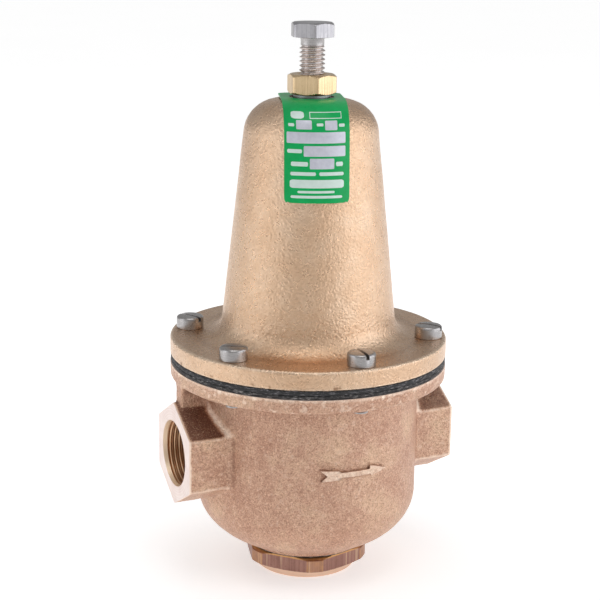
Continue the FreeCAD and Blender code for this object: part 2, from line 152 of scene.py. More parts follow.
def hex_lathe(name, af, phi0, rows, inner=None, seg=360, corner=0.25):
    """rows: list of (z, limit radius). The section is the hexagon cut by a circle of the limit radius.
    inner: list of (r, z) of a round hole walked from the top back to the bottom."""
    verts, idx = [], []
    phis = [phi0 + 360.0 * k / seg for k in range(seg)]
    hr = [hex_radius(af, phi0, p, corner) for p in phis]
    for z, lim in rows:
        idx.append(list(range(len(verts), len(verts) + seg)))
        for p, h in zip(phis, hr):
            r = min(h, lim)
            x, y = polar(r, p)
            verts.append((x, y, z))
    loops = list(idx)
    if inner:
        for r, z in inner:
            loops.append(list(range(len(verts), len(verts) + seg)))
            for p in phis:
                x, y = polar(r, p)
                verts.append((x, y, z))
        pairs = list(zip(loops, loops[1:] + loops[:1]))
    else:
        pairs = list(zip(loops[:-1], loops[1:]))
    faces = []
    for A, B in pairs:
        for i in range(seg):
            j = (i + 1) % seg
            faces.append((A[i], A[j], B[j], B[i]))
    if not inner:
        for row, z in ((idx[0], rows[0][0]), (idx[-1], rows[-1][0])):
            c = len(verts)
            verts.append((0, 0, z))
            for i in range(seg):
                faces.append((row[i], row[(i + 1) % seg], c))
    ob = new_object(name, verts, faces)
    recalc(ob)
    return ob


def thread(name, r_crest, r_root, r_wall, pitch, z0, z1, n=64, internal=False, crest_flat=0.125, root_flat=0.2):
    """Right-handed 60 degree thread from z0 to z1, as a helicoidal sheet. It fades to r_wall at both ends."""
    flank = (1 - crest_flat - root_flat) / 2
    prof = [(0.0, r_root), (root_flat, r_root), (root_flat + flank * 0.5, (r_root + r_crest) / 2),
            (root_flat + flank, r_crest), (root_flat + flank + crest_flat, r_crest),
            (root_flat + 1.5 * flank + crest_flat, (r_root + r_crest) / 2)]
    J = len(prof)
    turns = int(math.ceil((z1 - z0) / pitch)) + 2
    A = n * turns + 1
    a = np.arange(A)
    th = a * TAU / n
    cols = []
    for s, r in prof:
        z = z0 - pitch + pitch * (th / TAU + s)
        edge = np.minimum(z - z0, z1 - z)
        w = np.clip(edge / (0.75 * pitch), 0, 1)
        w = w * w * (3 - 2 * w)
        rr = r_wall + (r - r_wall) * w
        cols.append(np.stack([rr * np.cos(th), rr * np.sin(th), np.clip(z, z0, z1)], 1))
    verts = np.stack(cols, 1).reshape(-1, 3)
    faces = []
    for i in range(A - 1):
        for j in range(J):
            if j < J - 1:
                q = (i * J + j, (i + 1) * J + j, (i + 1) * J + j + 1, i * J + j + 1)
            else:
                if i + 1 + n >= A:
                    continue
                q = (i * J + j, (i + 1) * J + j, (i + 1 + n) * J, (i + n) * J)
            zz = verts[list(q), 2]
            if zz.max() - zz.min() < 1e-9:
                continue
            faces.append(q if not internal else q[::-1])
    return new_object(name, verts, faces)


def boolean(ob, cutter, op="DIFFERENCE", solver="EXACT", keep=False):
    m = ob.modifiers.new("b", "BOOLEAN")
    m.operation, m.object, m.solver = op, cutter, solver
    apply_all(ob)
    if not keep:
        bpy.data.objects.remove(cutter, do_unlink=True)
    return ob


def apply_all(ob):
    dg = bpy.context.evaluated_depsgraph_get()
    me = bpy.data.meshes.new_from_object(ob.evaluated_get(dg))
    old = ob.data
    ob.modifiers.clear()
    ob.data = me
    bpy.data.meshes.remove(old)
    return ob


def join(name, obs):
    """One object from several, keeping their materials."""
    bm = bmesh.new()
    mats = []
    for o in obs:
        start = len(bm.faces)
        bm.from_mesh(o.data)
        bm.faces.ensure_lookup_table()
        table = []
        for m in (list(o.data.materials) or [None]):
            if m not in mats:
                mats.append(m)
            table.append(mats.index(m))
        for f in bm.faces[start:]:
            f.material_index = table[min(f.material_index, len(table) - 1)]
    me = bpy.data.meshes.new(name)
    bm.to_mesh(me)
    bm.free()
    for m in mats:
        me.materials.append(m)
    for o in obs:
        bpy.data.objects.remove(o, do_unlink=True)
    ob = bpy.data.objects.new(name, me)
    bpy.context.scene.collection.objects.link(ob)
    return ob


def cylinder(r, p, axis, length, seg=128, r2=None):
    """Cylinder or cone from point p (mm) along axis."""
    ob = lathe("cut", [(0, 0), (r, 0), (r if r2 is None else r2, length), (0, length)], seg, smooth=False)
    q = Vector((0, 0, 1)).rotation_difference(Vector(axis))
    ob.data.transform(Matrix.Translation(Vector(p) * MM) @ q.to_matrix().to_4x4())
    return ob


def box(lo, hi):
    v = [(x, y, z) for x in (lo[0], hi[0]) for y in (lo[1], hi[1]) for z in (lo[2], hi[2])]
    f = [(0, 1, 3, 2), (4, 6, 7, 5), (0, 4, 5, 1), (2, 3, 7, 6), (0, 2, 6, 4), (1, 5, 7, 3)]
    ob = new_object("cut", v, f, False)
    recalc(ob)
    return ob


def prism(pts, y0, y1):
    """(x, z) outline pushed along Y."""
    n = len(pts)
    v = [(x, y0, z) for x, z in pts] + [(x, y1, z) for x, z in pts]
    f = [tuple(range(n)), tuple(range(n, 2 * n))[::-1]] + [(i, (i + 1) % n, n + (i + 1) % n, n + i) for i in range(n)]
    ob = new_object("cut", v, f, False)
    recalc(ob)
    return ob


def coords(me):
    c = np.empty(len(me.vertices) * 3)
    me.vertices.foreach_get("co", c)
    return c.reshape(-1, 3)


def normals(me):
    c = np.empty(len(me.vertices) * 3)
    me.vertex_normals.foreach_get("vector", c)
    return c.reshape(-1, 3)


def set_coords(me, c):
    me.vertices.foreach_set("co", c.ravel())
    me.update()


def face_centres(me):
    c = np.empty(len(me.polygons) * 3)
    me.polygons.foreach_get("center", c)
    n = np.empty(len(me.polygons) * 3)
    me.polygons.foreach_get("normal", n)
    return c.reshape(-1, 3) / MM, n.reshape(-1, 3)


def value_noise(p, seed):
    """Smooth lattice noise of numpy points, about -1 to 1."""
    i = np.floor(p).astype(np.int64)
    f = p - i
    f = f * f * f * (f * (f * 6 - 15) + 10)

    def h(x, y, z):
        n = (x * 374761393 + y * 668265263 + z * 2147483647 + seed * 1274126177) & 0xFFFFFFFF
        n = ((n ^ (n >> 13)) * 1274126177) & 0xFFFFFFFF
        n = n ^ (n >> 16)
        return (n & 0xFFFF) / 32767.5 - 1.0

    out = 0
    for dx in (0, 1):
        for dy in (0, 1):
            for dz in (0, 1):
                w = (f[:, 0] if dx else 1 - f[:, 0]) * (f[:, 1] if dy else 1 - f[:, 1]) * (f[:, 2] if dz else 1 - f[:, 2])
                out = out + w * h(i[:, 0] + dx, i[:, 1] + dy, i[:, 2] + dz)
    return out


def cast_skin(ob, mask=None, fine=0.06, mid=0.07, broad=0.12, seed=1):
    """Sand-cast unevenness, pushed along the normals. mask: 0 keeps a vertex where it is."""
    me = ob.data
    c, n = coords(me), normals(me)
    p = c / MM
    d = (fine * value_noise(p / 1.15, seed) + mid * value_noise(p / 2.6 + 7.3, seed + 1)
         + broad * value_noise(p / 11.0 + 3.1, seed + 2))
    if mask is not None:
        d = d * mask(p, n)
    set_coords(me, c + n * d[:, None] * MM)


def smooth_mesh(ob, iterations, factor=0.5):
    m = ob.modifiers.new("s", "SMOOTH")
    m.factor, m.iterations = factor, iterations
    apply_all(ob)


def shade(ob, smooth=True, angle=None):
    me = ob.data
    me.polygons.foreach_set("use_smooth", np.full(len(me.polygons), smooth))
    me.update()
    if angle is not None:
        me.set_sharp_from_angle(angle=math.radians(angle))
    return ob


# =====================================================================================
# materials
# =====================================================================================
class Nodes:
    def __init__(self, name):
        self.mat = bpy.data.materials.new(name)
        self.mat.use_nodes = True
        self.t = self.mat.node_tree
        self.t.nodes.clear()
        self.out = self.t.nodes.new("ShaderNodeOutputMaterial")
        self.p = self.t.nodes.new("ShaderNodeBsdfPrincipled")
        self.t.links.new(self.p.outputs[0], self.out.inputs[0])
        self.coord = self.t.nodes.new("ShaderNodeTexCoord").outputs["Object"]

    def link(self, a, b):
        self.t.links.new(a, b)
        return self

    def n(self, kind, **kw):
        nd = self.t.nodes.new(kind)
        for k, v in kw.items():
            setattr(nd, k, v)
        return nd

    def noise(self, scale, detail=4, rough=0.55, vec=None, dist=0.0):
        nd = self.n("ShaderNodeTexNoise")
        nd.inputs["Scale"].default_value = scale
        nd.inputs["Detail"].default_value = detail
        nd.inputs["Roughness"].default_value = rough
        nd.inputs["Distortion"].default_value = dist
        self.link(vec or self.coord, nd.inputs["Vector"])
        return nd.outputs["Fac"]

    def voronoi(self, scale, vec=None, feature="F1", smooth=None):
        nd = self.n("ShaderNodeTexVoronoi", feature=feature)
        nd.inputs["Scale"].default_value = scale
        if smooth is not None:
            nd.inputs["Smoothness"].default_value = smooth
        self.link(vec or self.coord, nd.inputs["Vector"])
        return nd.outputs["Distance"]

    def ramp(self, fac, stops):
        nd = self.n("ShaderNodeValToRGB")
        e = nd.color_ramp.elements
        while len(e) < len(stops):
            e.new(0.5)
        for el, (pos, col) in zip(e, stops):
            el.position = pos
            el.color = (*col, 1) if len(col) == 3 else col
        self.link(fac, nd.inputs[0])
        return nd.outputs[0]

    def mrange(self, fac, a, b, c, d):
        nd = self.n("ShaderNodeMapRange")
        for k, v in zip(("From Min", "From Max", "To Min", "To Max"), (a, b, c, d)):
            nd.inputs[k].default_value = v
        self.link(fac, nd.inputs["Value"])
        return nd.outputs[0]

    def mix(self, fac, a, b, blend="MIX"):
        nd = self.n("ShaderNodeMix", data_type="RGBA", blend_type=blend)
        for sock, v in ((nd.inputs[0], fac), (nd.inputs[6], a), (nd.inputs[7], b)):
            if hasattr(v, "is_output"):
                self.link(v, sock)
            elif isinstance(v, (int, float)):
                sock.default_value = v
            else:
                sock.default_value = (*v, 1)
        return nd.outputs[2]

    def math(self, op, a, b=None, c=None):
        nd = self.n("ShaderNodeMath", operation=op)
        for i, v in enumerate((a, b, c)):
            if v is None:
                continue
            if hasattr(v, "is_output"):
                self.link(v, nd.inputs[i])
            else:
                nd.inputs[i].default_value = v
        return nd.outputs[0]

    def mapping(self, scale=(1, 1, 1), loc=(0, 0, 0), vec=None):
        nd = self.n("ShaderNodeMapping")
        nd.inputs["Scale"].default_value = scale
        nd.inputs["Location"].default_value = loc
        self.link(vec or self.coord, nd.inputs["Vector"])
        return nd.outputs[0]

    def bump(self, height, strength, distance, prev=None):
        nd = self.n("ShaderNodeBump")
        nd.inputs["Strength"].default_value = strength
        nd.inputs["Distance"].default_value = distance
        self.link(height, nd.inputs["Height"])
        if prev is not None:
            self.link(prev, nd.inputs["Normal"])
        return nd.outputs[0]

    def edge(self):
        """The mesh's own pointiness: above 0.5 on convex edges, below 0.5 in hollows."""
        g = self.n("ShaderNodeNewGeometry")
        return g.outputs["Pointiness"]

    def xyz(self, vec=None):
        nd = self.n("ShaderNodeSeparateXYZ")
        self.link(vec or self.coord, nd.inputs[0])
        return nd.outputs


def toned(m, col, dark, bright, amp=0.06, speck=0.0):
    """Darker or brighter by the mesh's tone attribute; 0.5 leaves the colour as it is."""
    at = m.n("ShaderNodeAttribute", attribute_name="tone")
    t = at.outputs["Fac"]
    wob = m.mrange(m.noise(650, 3, 0.6), 0.3, 0.7, -amp, amp)
    lo = m.mrange(m.math("ADD", t, wob), 0.10, 0.47, 1.0, 0.0)
    hi = m.mrange(m.math("ADD", t, wob), 0.53, 0.92, 0.0, 1.0)
    if speck:
        lo = m.math("MULTIPLY", lo, m.mrange(m.noise(1900, 2, 0.7), 0.54, 0.66, 1.0, 1.0 - speck))
    return m.mix(hi, m.mix(lo, col, dark), bright)


def bronze_cast(name, c_dark, c_mid, c_light, oxide_and_shade, wear_and_highlight, rough, grain, bump, depth, speckle, cloud, amp, valley_shade, coat):
    m = Nodes(name)
    big = m.mix(0.45, m.noise(34, 4, 0.6), m.noise(110, 4, 0.62))
    col = m.ramp(big, [(0.5 - cloud, c_dark), (0.5, c_mid), (0.5 + cloud, c_light)])
    v = m.voronoi(grain * 1.15, feature="SMOOTH_F1", smooth=0.5)
    n1 = m.noise(grain, 3, 0.6)
    h = m.math("ADD", m.math("MULTIPLY", v, 0.35), m.math("MULTIPLY", n1, 1.0))
    # painted shade in the grain's valleys: the low parts of the grain height darkened
    col = m.mix(m.mrange(h, 0.44, 0.62, valley_shade, 0.0), col, tuple(x * 0.62 for x in c_dark))
    # fine specks: darker pits, and painted glints lighter than the metal
    fine = m.noise(1750, 2, 0.75)
    pits = m.mrange(fine, 0.36, 0.46, speckle * 0.8, 0.0)
    glint = m.mrange(fine, 0.55, 0.66, 0.0, speckle)
    col = m.mix(pits, col, tuple(x * k for x, k in zip(c_dark, (0.52, 0.42, 0.36))))
    col = m.mix(glint, col, tuple(min(1.0, x * 1.18 + 0.03) for x in c_light))
    # painted shade in the hollows: concave places, found by pointiness, darkened
    hollow_shade = m.mrange(m.edge(), 0.44, 0.49, 0.4, 0.0)
    col = m.mix(hollow_shade, col, tuple(x * 0.6 for x in c_dark))
    # the tone attribute darkens the colour towards the dark tint and lightens it towards the bright tint: it carries
    # painted shade and painted highlights as well as dark spots and lighter patches
    col = toned(m, col, oxide_and_shade, wear_and_highlight, amp, min(0.75, speckle * 1.2))
    m.link(col, m.p.inputs["Base Color"])
    m.p.inputs["Metallic"].default_value = 1.0
    m.link(m.mrange(m.noise(500, 3, 0.6), 0.3, 0.7, *rough), m.p.inputs["Roughness"])
    b = m.bump(h, bump, depth)
    b = m.bump(m.noise(grain * 2.4, 2, 0.6), bump * 0.7, depth * 0.30, b)
    m.link(b, m.p.inputs["Normal"])
    m.link(b, m.p.inputs["Coat Normal"])
    m.p.inputs["Coat Weight"].default_value = coat
    m.p.inputs["Coat Roughness"].default_value = 0.42
    return m.mat


def machined(name, col, col2, rough=(0.22, 0.34), freq=2600.0, axis="Z", centre=(0, 0, 0), strength=0.25, metallic=1.0):
    """Turned metal: fine rings about an axis, with slight tone changes."""
    m = Nodes(name)
    v = m.mapping(loc=tuple(-c for c in centre))
    o = m.xyz(v)
    a, b = {"Z": (0, 1), "X": (1, 2), "Y": (0, 2)}[axis]
    r = m.math("SQRT", m.math("ADD", m.math("MULTIPLY", o[a], o[a]), m.math("MULTIPLY", o[b], o[b])))
    comb = m.n("ShaderNodeCombineXYZ")
    m.link(r, comb.inputs[0])
    m.link(m.math("MULTIPLY", o[{"Z": 2, "X": 0, "Y": 1}[axis]], 1.0), comb.inputs[1])
    rings = m.n("ShaderNodeTexNoise")
    rings.inputs["Scale"].default_value = freq
    rings.inputs["Detail"].default_value = 3
    m.link(comb.outputs[0], rings.inputs["Vector"])
    tone = m.noise(120, 4, 0.6)
    m.link(m.mix(m.mrange(m.mix(0.5, rings.outputs["Fac"], tone), 0.35, 0.65, 0, 1), col, col2), m.p.inputs["Base Color"])
    m.p.inputs["Metallic"].default_value = metallic
    m.link(m.mrange(m.noise(900, 3, 0.6), 0.3, 0.7, *rough), m.p.inputs["Roughness"])
    bp = m.bump(rings.outputs["Fac"], strength, 0.00006)
    bp = m.bump(m.noise(3500, 3, 0.6), strength * 0.5, 0.00003, bp)
    m.link(bp, m.p.inputs["Normal"])
    return m.mat


def srgb(r, g, b):
    def f(c):
        c /= 255.0
        return c / 12.92 if c <= 0.04045 else ((c + 0.055) / 1.055) ** 2.4
    return (f(r), f(g), f(b))


def brushed(name, col, col2, rough, stretch=(1, 1, 0.03), scale=2400, strength=0.35, lines=0.35, line_col=None, tone=None):
    """Metal with fine lines along Z, as a planed or drawn hexagon has."""
    m = Nodes(name)
    v = m.mapping(scale=stretch)
    st = m.noise(scale, 3, 0.6, v)
    c = m.mix(m.mrange(m.mix(0.4, st, m.noise(160, 4, 0.6)), 0.36, 0.64, 0, 1), col, col2)
    if line_col is not None:
        ln = m.mrange(m.noise(scale * 0.42, 2, 0.6, v), 0.61, 0.68, 0.0, lines)
        c = m.mix(ln, c, line_col)
    mott = m.mrange(m.noise(950, 4, 0.7), 0.3, 0.45, 0.35, 0.0)
    c = m.mix(mott, c, tuple(x * 0.55 for x in col2))
    if tone is not None:
        c = toned(m, c, tone[0], tone[1])
    m.link(c, m.p.inputs["Base Color"])
    m.p.inputs["Metallic"].default_value = 1.0
    m.link(m.mrange(st, 0.3, 0.7, *rough), m.p.inputs["Roughness"])
    bp = m.bump(st, strength, 0.00005)
    bp = m.bump(m.noise(3200, 3, 0.6), strength * 0.6, 0.00003, bp)
    m.link(bp, m.p.inputs["Normal"])
    return m.mat


MAT = {}
MAT["cage"] = bronze_cast("cage_cast_bronze", srgb(208, 169, 135), srgb(218, 183, 151), srgb(229, 200, 172),
                          srgb(126, 88, 60), srgb(250, 228, 204), (0.24, 0.34), 1090.0, 1.0, 0.00038, 0.12, 0.22, 0.06, 0.22, 0.25)
MAT["body"] = bronze_cast("body_cast_bronze", srgb(190, 146, 123), srgb(205, 165, 141), srgb(221, 188, 159),
                          srgb(134, 96, 78), srgb(252, 230, 210), (0.46, 0.62), 1350.0, 1.0, 0.00040, 0.70, 0.15, 0.12, 0.14, 0.35)
MAT["port_face"] = machined("port_face_machined", srgb(252, 238, 232), srgb(228, 206, 197), (0.36, 0.48), 2200, "X",
                            (0, 0, PORT_Z * MM), 0.35, 0.5)
MAT["port_lip"] = machined("port_lip_turned", srgb(255, 232, 202), srgb(250, 218, 184), (0.36, 0.48), 2200, "X",
                           (0, 0, PORT_Z * MM), 0.3, 0.55)
MAT["port_thread"] = machined("port_thread_cut", srgb(228, 192, 156), srgb(200, 156, 120), (0.30, 0.42), 3000, "X",
                              (0, 0, PORT_Z * MM), 0.2)
MAT["plug"] = brushed("plug_bronze", srgb(166, 128, 116), srgb(140, 104, 94), (0.36, 0.52), (1, 1, 0.02), 1500, 0.4, 0.55,
                      srgb(214, 184, 156), (srgb(84, 58, 48), srgb(214, 164, 106)))
MAT["plug_boss"] = machined("plug_boss_turned", srgb(240, 208, 184), srgb(226, 190, 164), (0.28, 0.4), 2500, "Z", (0, 0, 0), 0.3)
MAT["brass"] = brushed("lock_nut_brass", srgb(228, 202, 162), srgb(202, 174, 134), (0.24, 0.36), (1, 1, 0.02), 2600, 0.4, 0.3,
                       srgb(240, 214, 170))
MAT["stem_brass"] = machined("stem_brass_turned", srgb(226, 190, 128), srgb(204, 164, 100), (0.25, 0.38), 1800, "Z")
MAT["stainless"] = machined("stainless_screw", srgb(184, 181, 180), srgb(158, 154, 153), (0.24, 0.38), 2200, "Z", (0, 0, 0), 0.3)
MAT["head_steel"] = brushed("stainless_hex_head", srgb(182, 180, 182), srgb(158, 156, 160), (0.28, 0.42), (1, 1, 0.05), 2200,
                            0.3, 0.3, srgb(200, 198, 198))
MAT["thread_steel"] = machined("stainless_thread", srgb(216, 206, 200), srgb(190, 178, 172), (0.22, 0.34), 2600, "Z", (0, 0, 0), 0.2)
MAT["washer"] = machined("washer_grey_steel", srgb(158, 162, 162), srgb(132, 136, 136), (0.35, 0.5), 2400, "Z", (0, 0, 0), 0.3)
MAT["plate"] = machined("plate_zinc_steel", srgb(196, 198, 198), srgb(170, 172, 174), (0.3, 0.45), 1600, "Z")
MAT["spring"] = machined("spring_oiled_steel", srgb(120, 120, 122), srgb(92, 92, 94), (0.28, 0.42), 900, "Z")


def rubber(name, c0, c1, fibre=True):
    m = Nodes(name)
    v = m.mapping(scale=(0.55, 0.55, 2.4))
    f = m.noise(900, 5, 0.8, v)
    col = m.ramp(f, [(0.40, c0), (0.53, c1), (0.58, tuple(min(1, x * 5.0) for x in c1)), (0.66, tuple(min(1, x * 13.0) for x in c1))])
    m.link(col, m.p.inputs["Base Color"])
    m.p.inputs["Metallic"].default_value = 0.0
    m.link(m.mrange(f, 0.3, 0.7, 0.55, 0.8), m.p.inputs["Roughness"])
    b = m.bump(m.noise(700, 4, 0.7, v), 0.8, 0.0003)
    m.link(b, m.p.inputs["Normal"])
    return m.mat


MAT["rubber"] = rubber("black_rubber", srgb(20, 20, 22), srgb(44, 43, 44))
MAT["gasket"] = rubber("gasket_fibre", srgb(24, 23, 24), srgb(50, 48, 47))


def tag_paint():
    m = Nodes("tag_green_paint")
    f = m.noise(220, 4, 0.6)
    m.link(m.ramp(f, [(0.35, (0.0, 0.335, 0.080)), (0.65, (0.001, 0.385, 0.098))]), m.p.inputs["Base Color"])
    m.p.inputs["Metallic"].default_value = 0.0
    m.p.inputs["Specular IOR Level"].default_value = 0.22
    m.p.inputs["Coat Weight"].default_value = 0.08
    m.p.inputs["Coat Roughness"].default_value = 0.12
    m.link(m.mrange(m.noise(1500, 3, 0.6), 0.3, 0.7, 0.26, 0.4), m.p.inputs["Roughness"])
    b = m.bump(m.noise(600, 3, 0.6), 0.12, 0.0001)
    m.link(b, m.p.inputs["Normal"])
    return m.mat


def tag_metal(name, c0, c1, metallic, rough):
    m = Nodes(name)
    f = m.noise(500, 4, 0.6)
    m.link(m.ramp(f, [(0.35, c0), (0.65, c1)]), m.p.inputs["Base Color"])
    m.p.inputs["Metallic"].default_value = metallic
    m.link(m.mrange(m.noise(1800, 3, 0.6), 0.3, 0.7, *rough), m.p.inputs["Roughness"])
    b = m.bump(m.noise(2500, 2, 0.6), 0.1, 0.00005)
    m.link(b, m.p.inputs["Normal"])
    return m.mat


MAT["tag"] = tag_paint()
MAT["tag_box"] = tag_metal("tag_bare_aluminium", srgb(196, 197, 208), srgb(208, 209, 219), 0.35, (0.35, 0.5))
MAT["tag_line"] = tag_metal("tag_pale_line", srgb(204, 222, 214), srgb(214, 230, 222), 0.2, (0.35, 0.5))
MAT["tag_back"] = tag_metal("tag_back_aluminium", srgb(180, 182, 186), srgb(196, 198, 202), 0.9, (0.3, 0.42))


def put(ob, *names):
    ob.data.materials.clear()
    for n in names:
        ob.data.materials.append(MAT[n])
    return ob


# =====================================================================================
# valve body
# =====================================================================================
def bowl_point(t, a=26.84, b=20.61):
    return (15.76 + a * math.cos(t), 31.98 - b * math.sin(t))


az = 51.1
ARROW = [(-13.1, az + 2.1), (-6.4, az + 1.7), (-5.2, az + 0.95), (5.9, az + 0.9), (6.2, az + 2.15), (8.2, az + 1.6),
         (13.5, az - 0.1), (10.2, az - 1.0), (6.9, az - 1.7), (6.3, az - 1.0), (-5.2, az - 1.0), (-5.8, az - 1.75),
         (-12.9, az - 2.2), (-10.5, az - 0.15)]


def outline_distance(x, z, pts):
    """Distance of points to a closed outline."""
    d = np.full(len(x), 1e9)
    for (x0, z0), (x1, z1) in zip(pts, pts[1:] + pts[:1]):
        ex, ez = x1 - x0, z1 - z0
        t = np.clip(((x - x0) * ex + (z - z0) * ez) / (ex * ex + ez * ez), 0, 1)
        d = np.minimum(d, np.hypot(x - x0 - t * ex, z - z0 - t * ez))
    return d


def make_body():
    t0 = math.acos((24.5 - 15.76) / 26.84)
    outer = [(0, 10.6), (24.2, 10.6), (24.5, 10.9)]
    outer += [bowl_point(t0 * (1 - k / 24)) for k in range(25)]
    outer += [(42.6, 75.6)] + arc(44.95, 75.6, 2.35, 180, 90, 6)[1:]
    outer += [(52.1, 77.95)] + arc(52.1, 78.81, 0.86, 270, 360, 4)[1:] + [(52.96, 85.0), (0, 85.0)]
    body = lathe("body", outer, 256, smooth=False)
    R = 35.0 / math.sqrt(3)
    parts = []
    for s in (-1, 1):
        v, f = [], []
        for x in (26.0, 57.0):
            for k in range(6):
                v.append((s * x, R * math.sin(math.radians(60 * k)), PORT_Z + R * math.cos(math.radians(60 * k))))
        f = [tuple(range(6)), tuple(range(6, 12))[::-1]] + [(i, (i + 1) % 6, 6 + (i + 1) % 6, 6 + i) for i in range(6)]
        h = new_object("hex", v, f, False)
        recalc(h)
        parts.append(h)
        parts.append(box((min(s * 36, s * 52.9), -3.2, 66.0), (max(s * 36, s * 52.9), 3.2, 80.0)))
    for p in parts:
        boolean(body, p, "UNION")
    # inside: water chamber with the S-shaped partition left standing
    ib, ia = 20.61 - 4.6, 38.0 - 15.76
    cavity = [(0, 31.98 - ib)] + [(15.76 + ia * math.cos(t), 31.98 - ib * math.sin(t))
                                  for t in np.linspace(math.pi / 2, 0, 16)]
    cavity += [(38.0, 77.95), (36.5, 79.45), (36.5, 88.0), (0, 88.0)]
    cav = lathe("cavity", cavity, 160, smooth=False)
    s_pts = [(-45, 68.5), (-16, 68.5), (-16, 55), (20.5, 55), (20.5, 39.5), (45, 39.5),
             (45, 35.5), (16.5, 35.5), (16.5, 50), (-20, 50), (-20, 64.5), (-45, 64.5)]
    boolean(cav, prism(s_pts, -45, 45))
    boolean(cav, lathe("ring", [(20.0, 14), (24.5, 14), (24.5, 20.6), (20.0, 20.6)], 128, closed=True, smooth=False))
    boolean(body, cav)
    boolean(body, cylinder(12.55, (0, 0, 49), (0, 0, 1), 7))
    boolean(body, cylinder(20.0, (0, 0, 8), (0, 0, 1), 14))
    for s in (-1, 1):
        boolean(body, cylinder(10.5, (s * 60, 0, PORT_Z), (-s, 0, 0), 30))
    # one skin, with the soft corners of a sand casting
    m = body.modifiers.new("r", "REMESH")
    m.mode, m.voxel_size = "VOXEL", 0.56 * MM
    apply_all(body)
    smooth_mesh(body, 7, 0.5)
    me = body.data
    p = coords(me) / MM
    # distance to the hexagons, the ribs and the bowl, to find the inside corners between them
    ay = np.abs(p[:, 1])
    dz = p[:, 2] - PORT_Z
    d_hex = np.maximum(ay, ay * 0.5 + np.abs(dz) * math.sqrt(3) / 2) - 17.5
    rad = np.hypot(p[:, 0], p[:, 1])
    zz = np.clip((31.98 - p[:, 2]) / 20.61, 0, 1)
    r_bowl = np.where(p[:, 2] > 31.98, 42.6, 15.76 + 26.84 * np.sqrt(1 - zz * zz))
    d_bowl = rad - r_bowl
    near_hex = np.clip(1.15 - np.abs(d_hex) / 3.6, 0, 1) * np.clip(1.15 - np.abs(d_bowl) / 3.6, 0, 1)
    d_rib = ay - 3.2
    near_rib = np.clip(1.1 - np.abs(d_rib) / 2.6, 0, 1) * np.clip(1.1 - np.abs(d_bowl) / 2.6, 0, 1) * (p[:, 2] > 66)
    rib_hex = np.clip(1.1 - np.abs(d_rib) / 2.4, 0, 1) * np.clip(1.1 - np.abs(d_hex) / 2.4, 0, 1) * (p[:, 2] > 66)
    under = np.clip(1.1 - np.abs(p[:, 2] - 77.95) / 2.2, 0, 1) * (rad < 52) * (np.maximum(-d_bowl, 0) < 1.5) * (p[:, 2] < 79)
    rib_top = under * np.clip(1.1 - np.abs(d_rib) / 2.0, 0, 1)
    out = (np.abs(p[:, 0]) > 24) & (rad > 39.5) & (np.abs(p[:, 0]) < 52.0)
    w = np.clip(np.maximum.reduce([near_hex, near_rib, rib_hex, rib_top]), 0, 1) * out
    g = body.vertex_groups.new(name="fillet")
    for lo in np.arange(0.1, 1.01, 0.1):
        ids = np.nonzero((w >= lo - 0.05) & (w < lo + 0.05))[0]
        if len(ids):
            g.add(ids.tolist(), float(lo), "REPLACE")
    m = body.modifiers.new("s", "SMOOTH")
    m.factor, m.iterations, m.vertex_group = 0.5, 46, "fillet"
    apply_all(body)
    body.vertex_groups.clear()
    # bring the turned wall and the rounded bottom back to their true curve
    me = body.data
    c = coords(me) / MM
    r = np.hypot(c[:, 0], c[:, 1])
    z = c[:, 2]
    zz = np.clip((31.98 - z) / 20.61, 0, 1)
    target = np.where(z > 31.98, 42.6, 15.76 + 26.84 * np.sqrt(1 - zz * zz))
    snap = (np.abs(r - target) < 0.55) & (z > 11.2) & (z < 74.5) & (r > 24.8)
    hold = np.clip(1.0 - 1.6 * w, 0, 1)
    k = np.where(snap, target * hold + r * (1 - hold), r) / np.maximum(r, 1e-9)
    c[:, 0] *= k
    c[:, 1] *= k
    set_coords(me, c * MM)

    def mask(p, n):
        rad = np.hypot(p[:, 0], p[:, 1])
        top = np.clip((83.6 - p[:, 2]) / 0.6, 0, 1)
        end = np.clip((54.9 - np.abs(p[:, 0])) / 0.6, 0, 1) * 0.6 + 0.4
        bot = np.clip((p[:, 2] - 11.0) / 0.6, 0, 1)
        rim = np.where((rad > 52.2) & (p[:, 2] > 79), 0.45, 1.0)
        return np.minimum(top, bot) * end * rim
    cast_skin(body, mask, 0.045, 0.04, 0.10, 11)
    # machined cuts: port ends, flange top, bottom face, port bores
    boolean(body, box((-55, -60, 10.6), (55, 60, 83.35)), "INTERSECT")
    for s in (-1, 1):
        boolean(body, cylinder(13.35, (s * 53.45, 0, PORT_Z), (-s, 0, 0), 18.6, 160))
        boolean(body, cylinder(12.8, (s * 55.6, 0, PORT_Z), (-s, 0, 0), 2.4, 160, r2=12.2))
    put(body, "body", "port_face", "port_thread", "port_lip")
    fc, fn = face_centres(body.data)
    idx = np.zeros(len(fc), int)
    ax = np.abs(fc[:, 0])
    rp = np.hypot(fc[:, 1], fc[:, 2] - PORT_Z)
    idx[(ax > 54.97)] = 1
    idx[(fc[:, 2] > 83.3) | (fc[:, 2] < 10.63)] = 1
    idx[(ax > 34.5) & (ax < 54.97) & (rp < 13.6) & (rp > 9.0)] = 2
    idx[(ax > 53.4) & (ax < 54.97) & (rp < 13.4)] = 3
    body.data.polygons.foreach_set("material_index", idx)
    shade(body, True, 38)
    pieces = [body]
    for s in (-1, 1):
        t = thread("th", 11.98, 13.15, 13.3, 1.814, 0.0, 18.2, 96, internal=True, crest_flat=0.24, root_flat=0.18)
        put(t, "port_thread")
        q = Vector((0, 0, 1)).rotation_difference(Vector((-s, 0, 0)))
        t.data.transform(Matrix.Translation(Vector((s * 53.6, 0, PORT_Z)) * MM) @ q.to_matrix().to_4x4())
        recalc_inward(t, s)
        pieces.append(t)
    ob = join("valve_body_casting", pieces)
    me = ob.data
    p, n = coords(me) / MM, normals(me)
    ay, dz = np.abs(p[:, 1]), p[:, 2] - PORT_Z
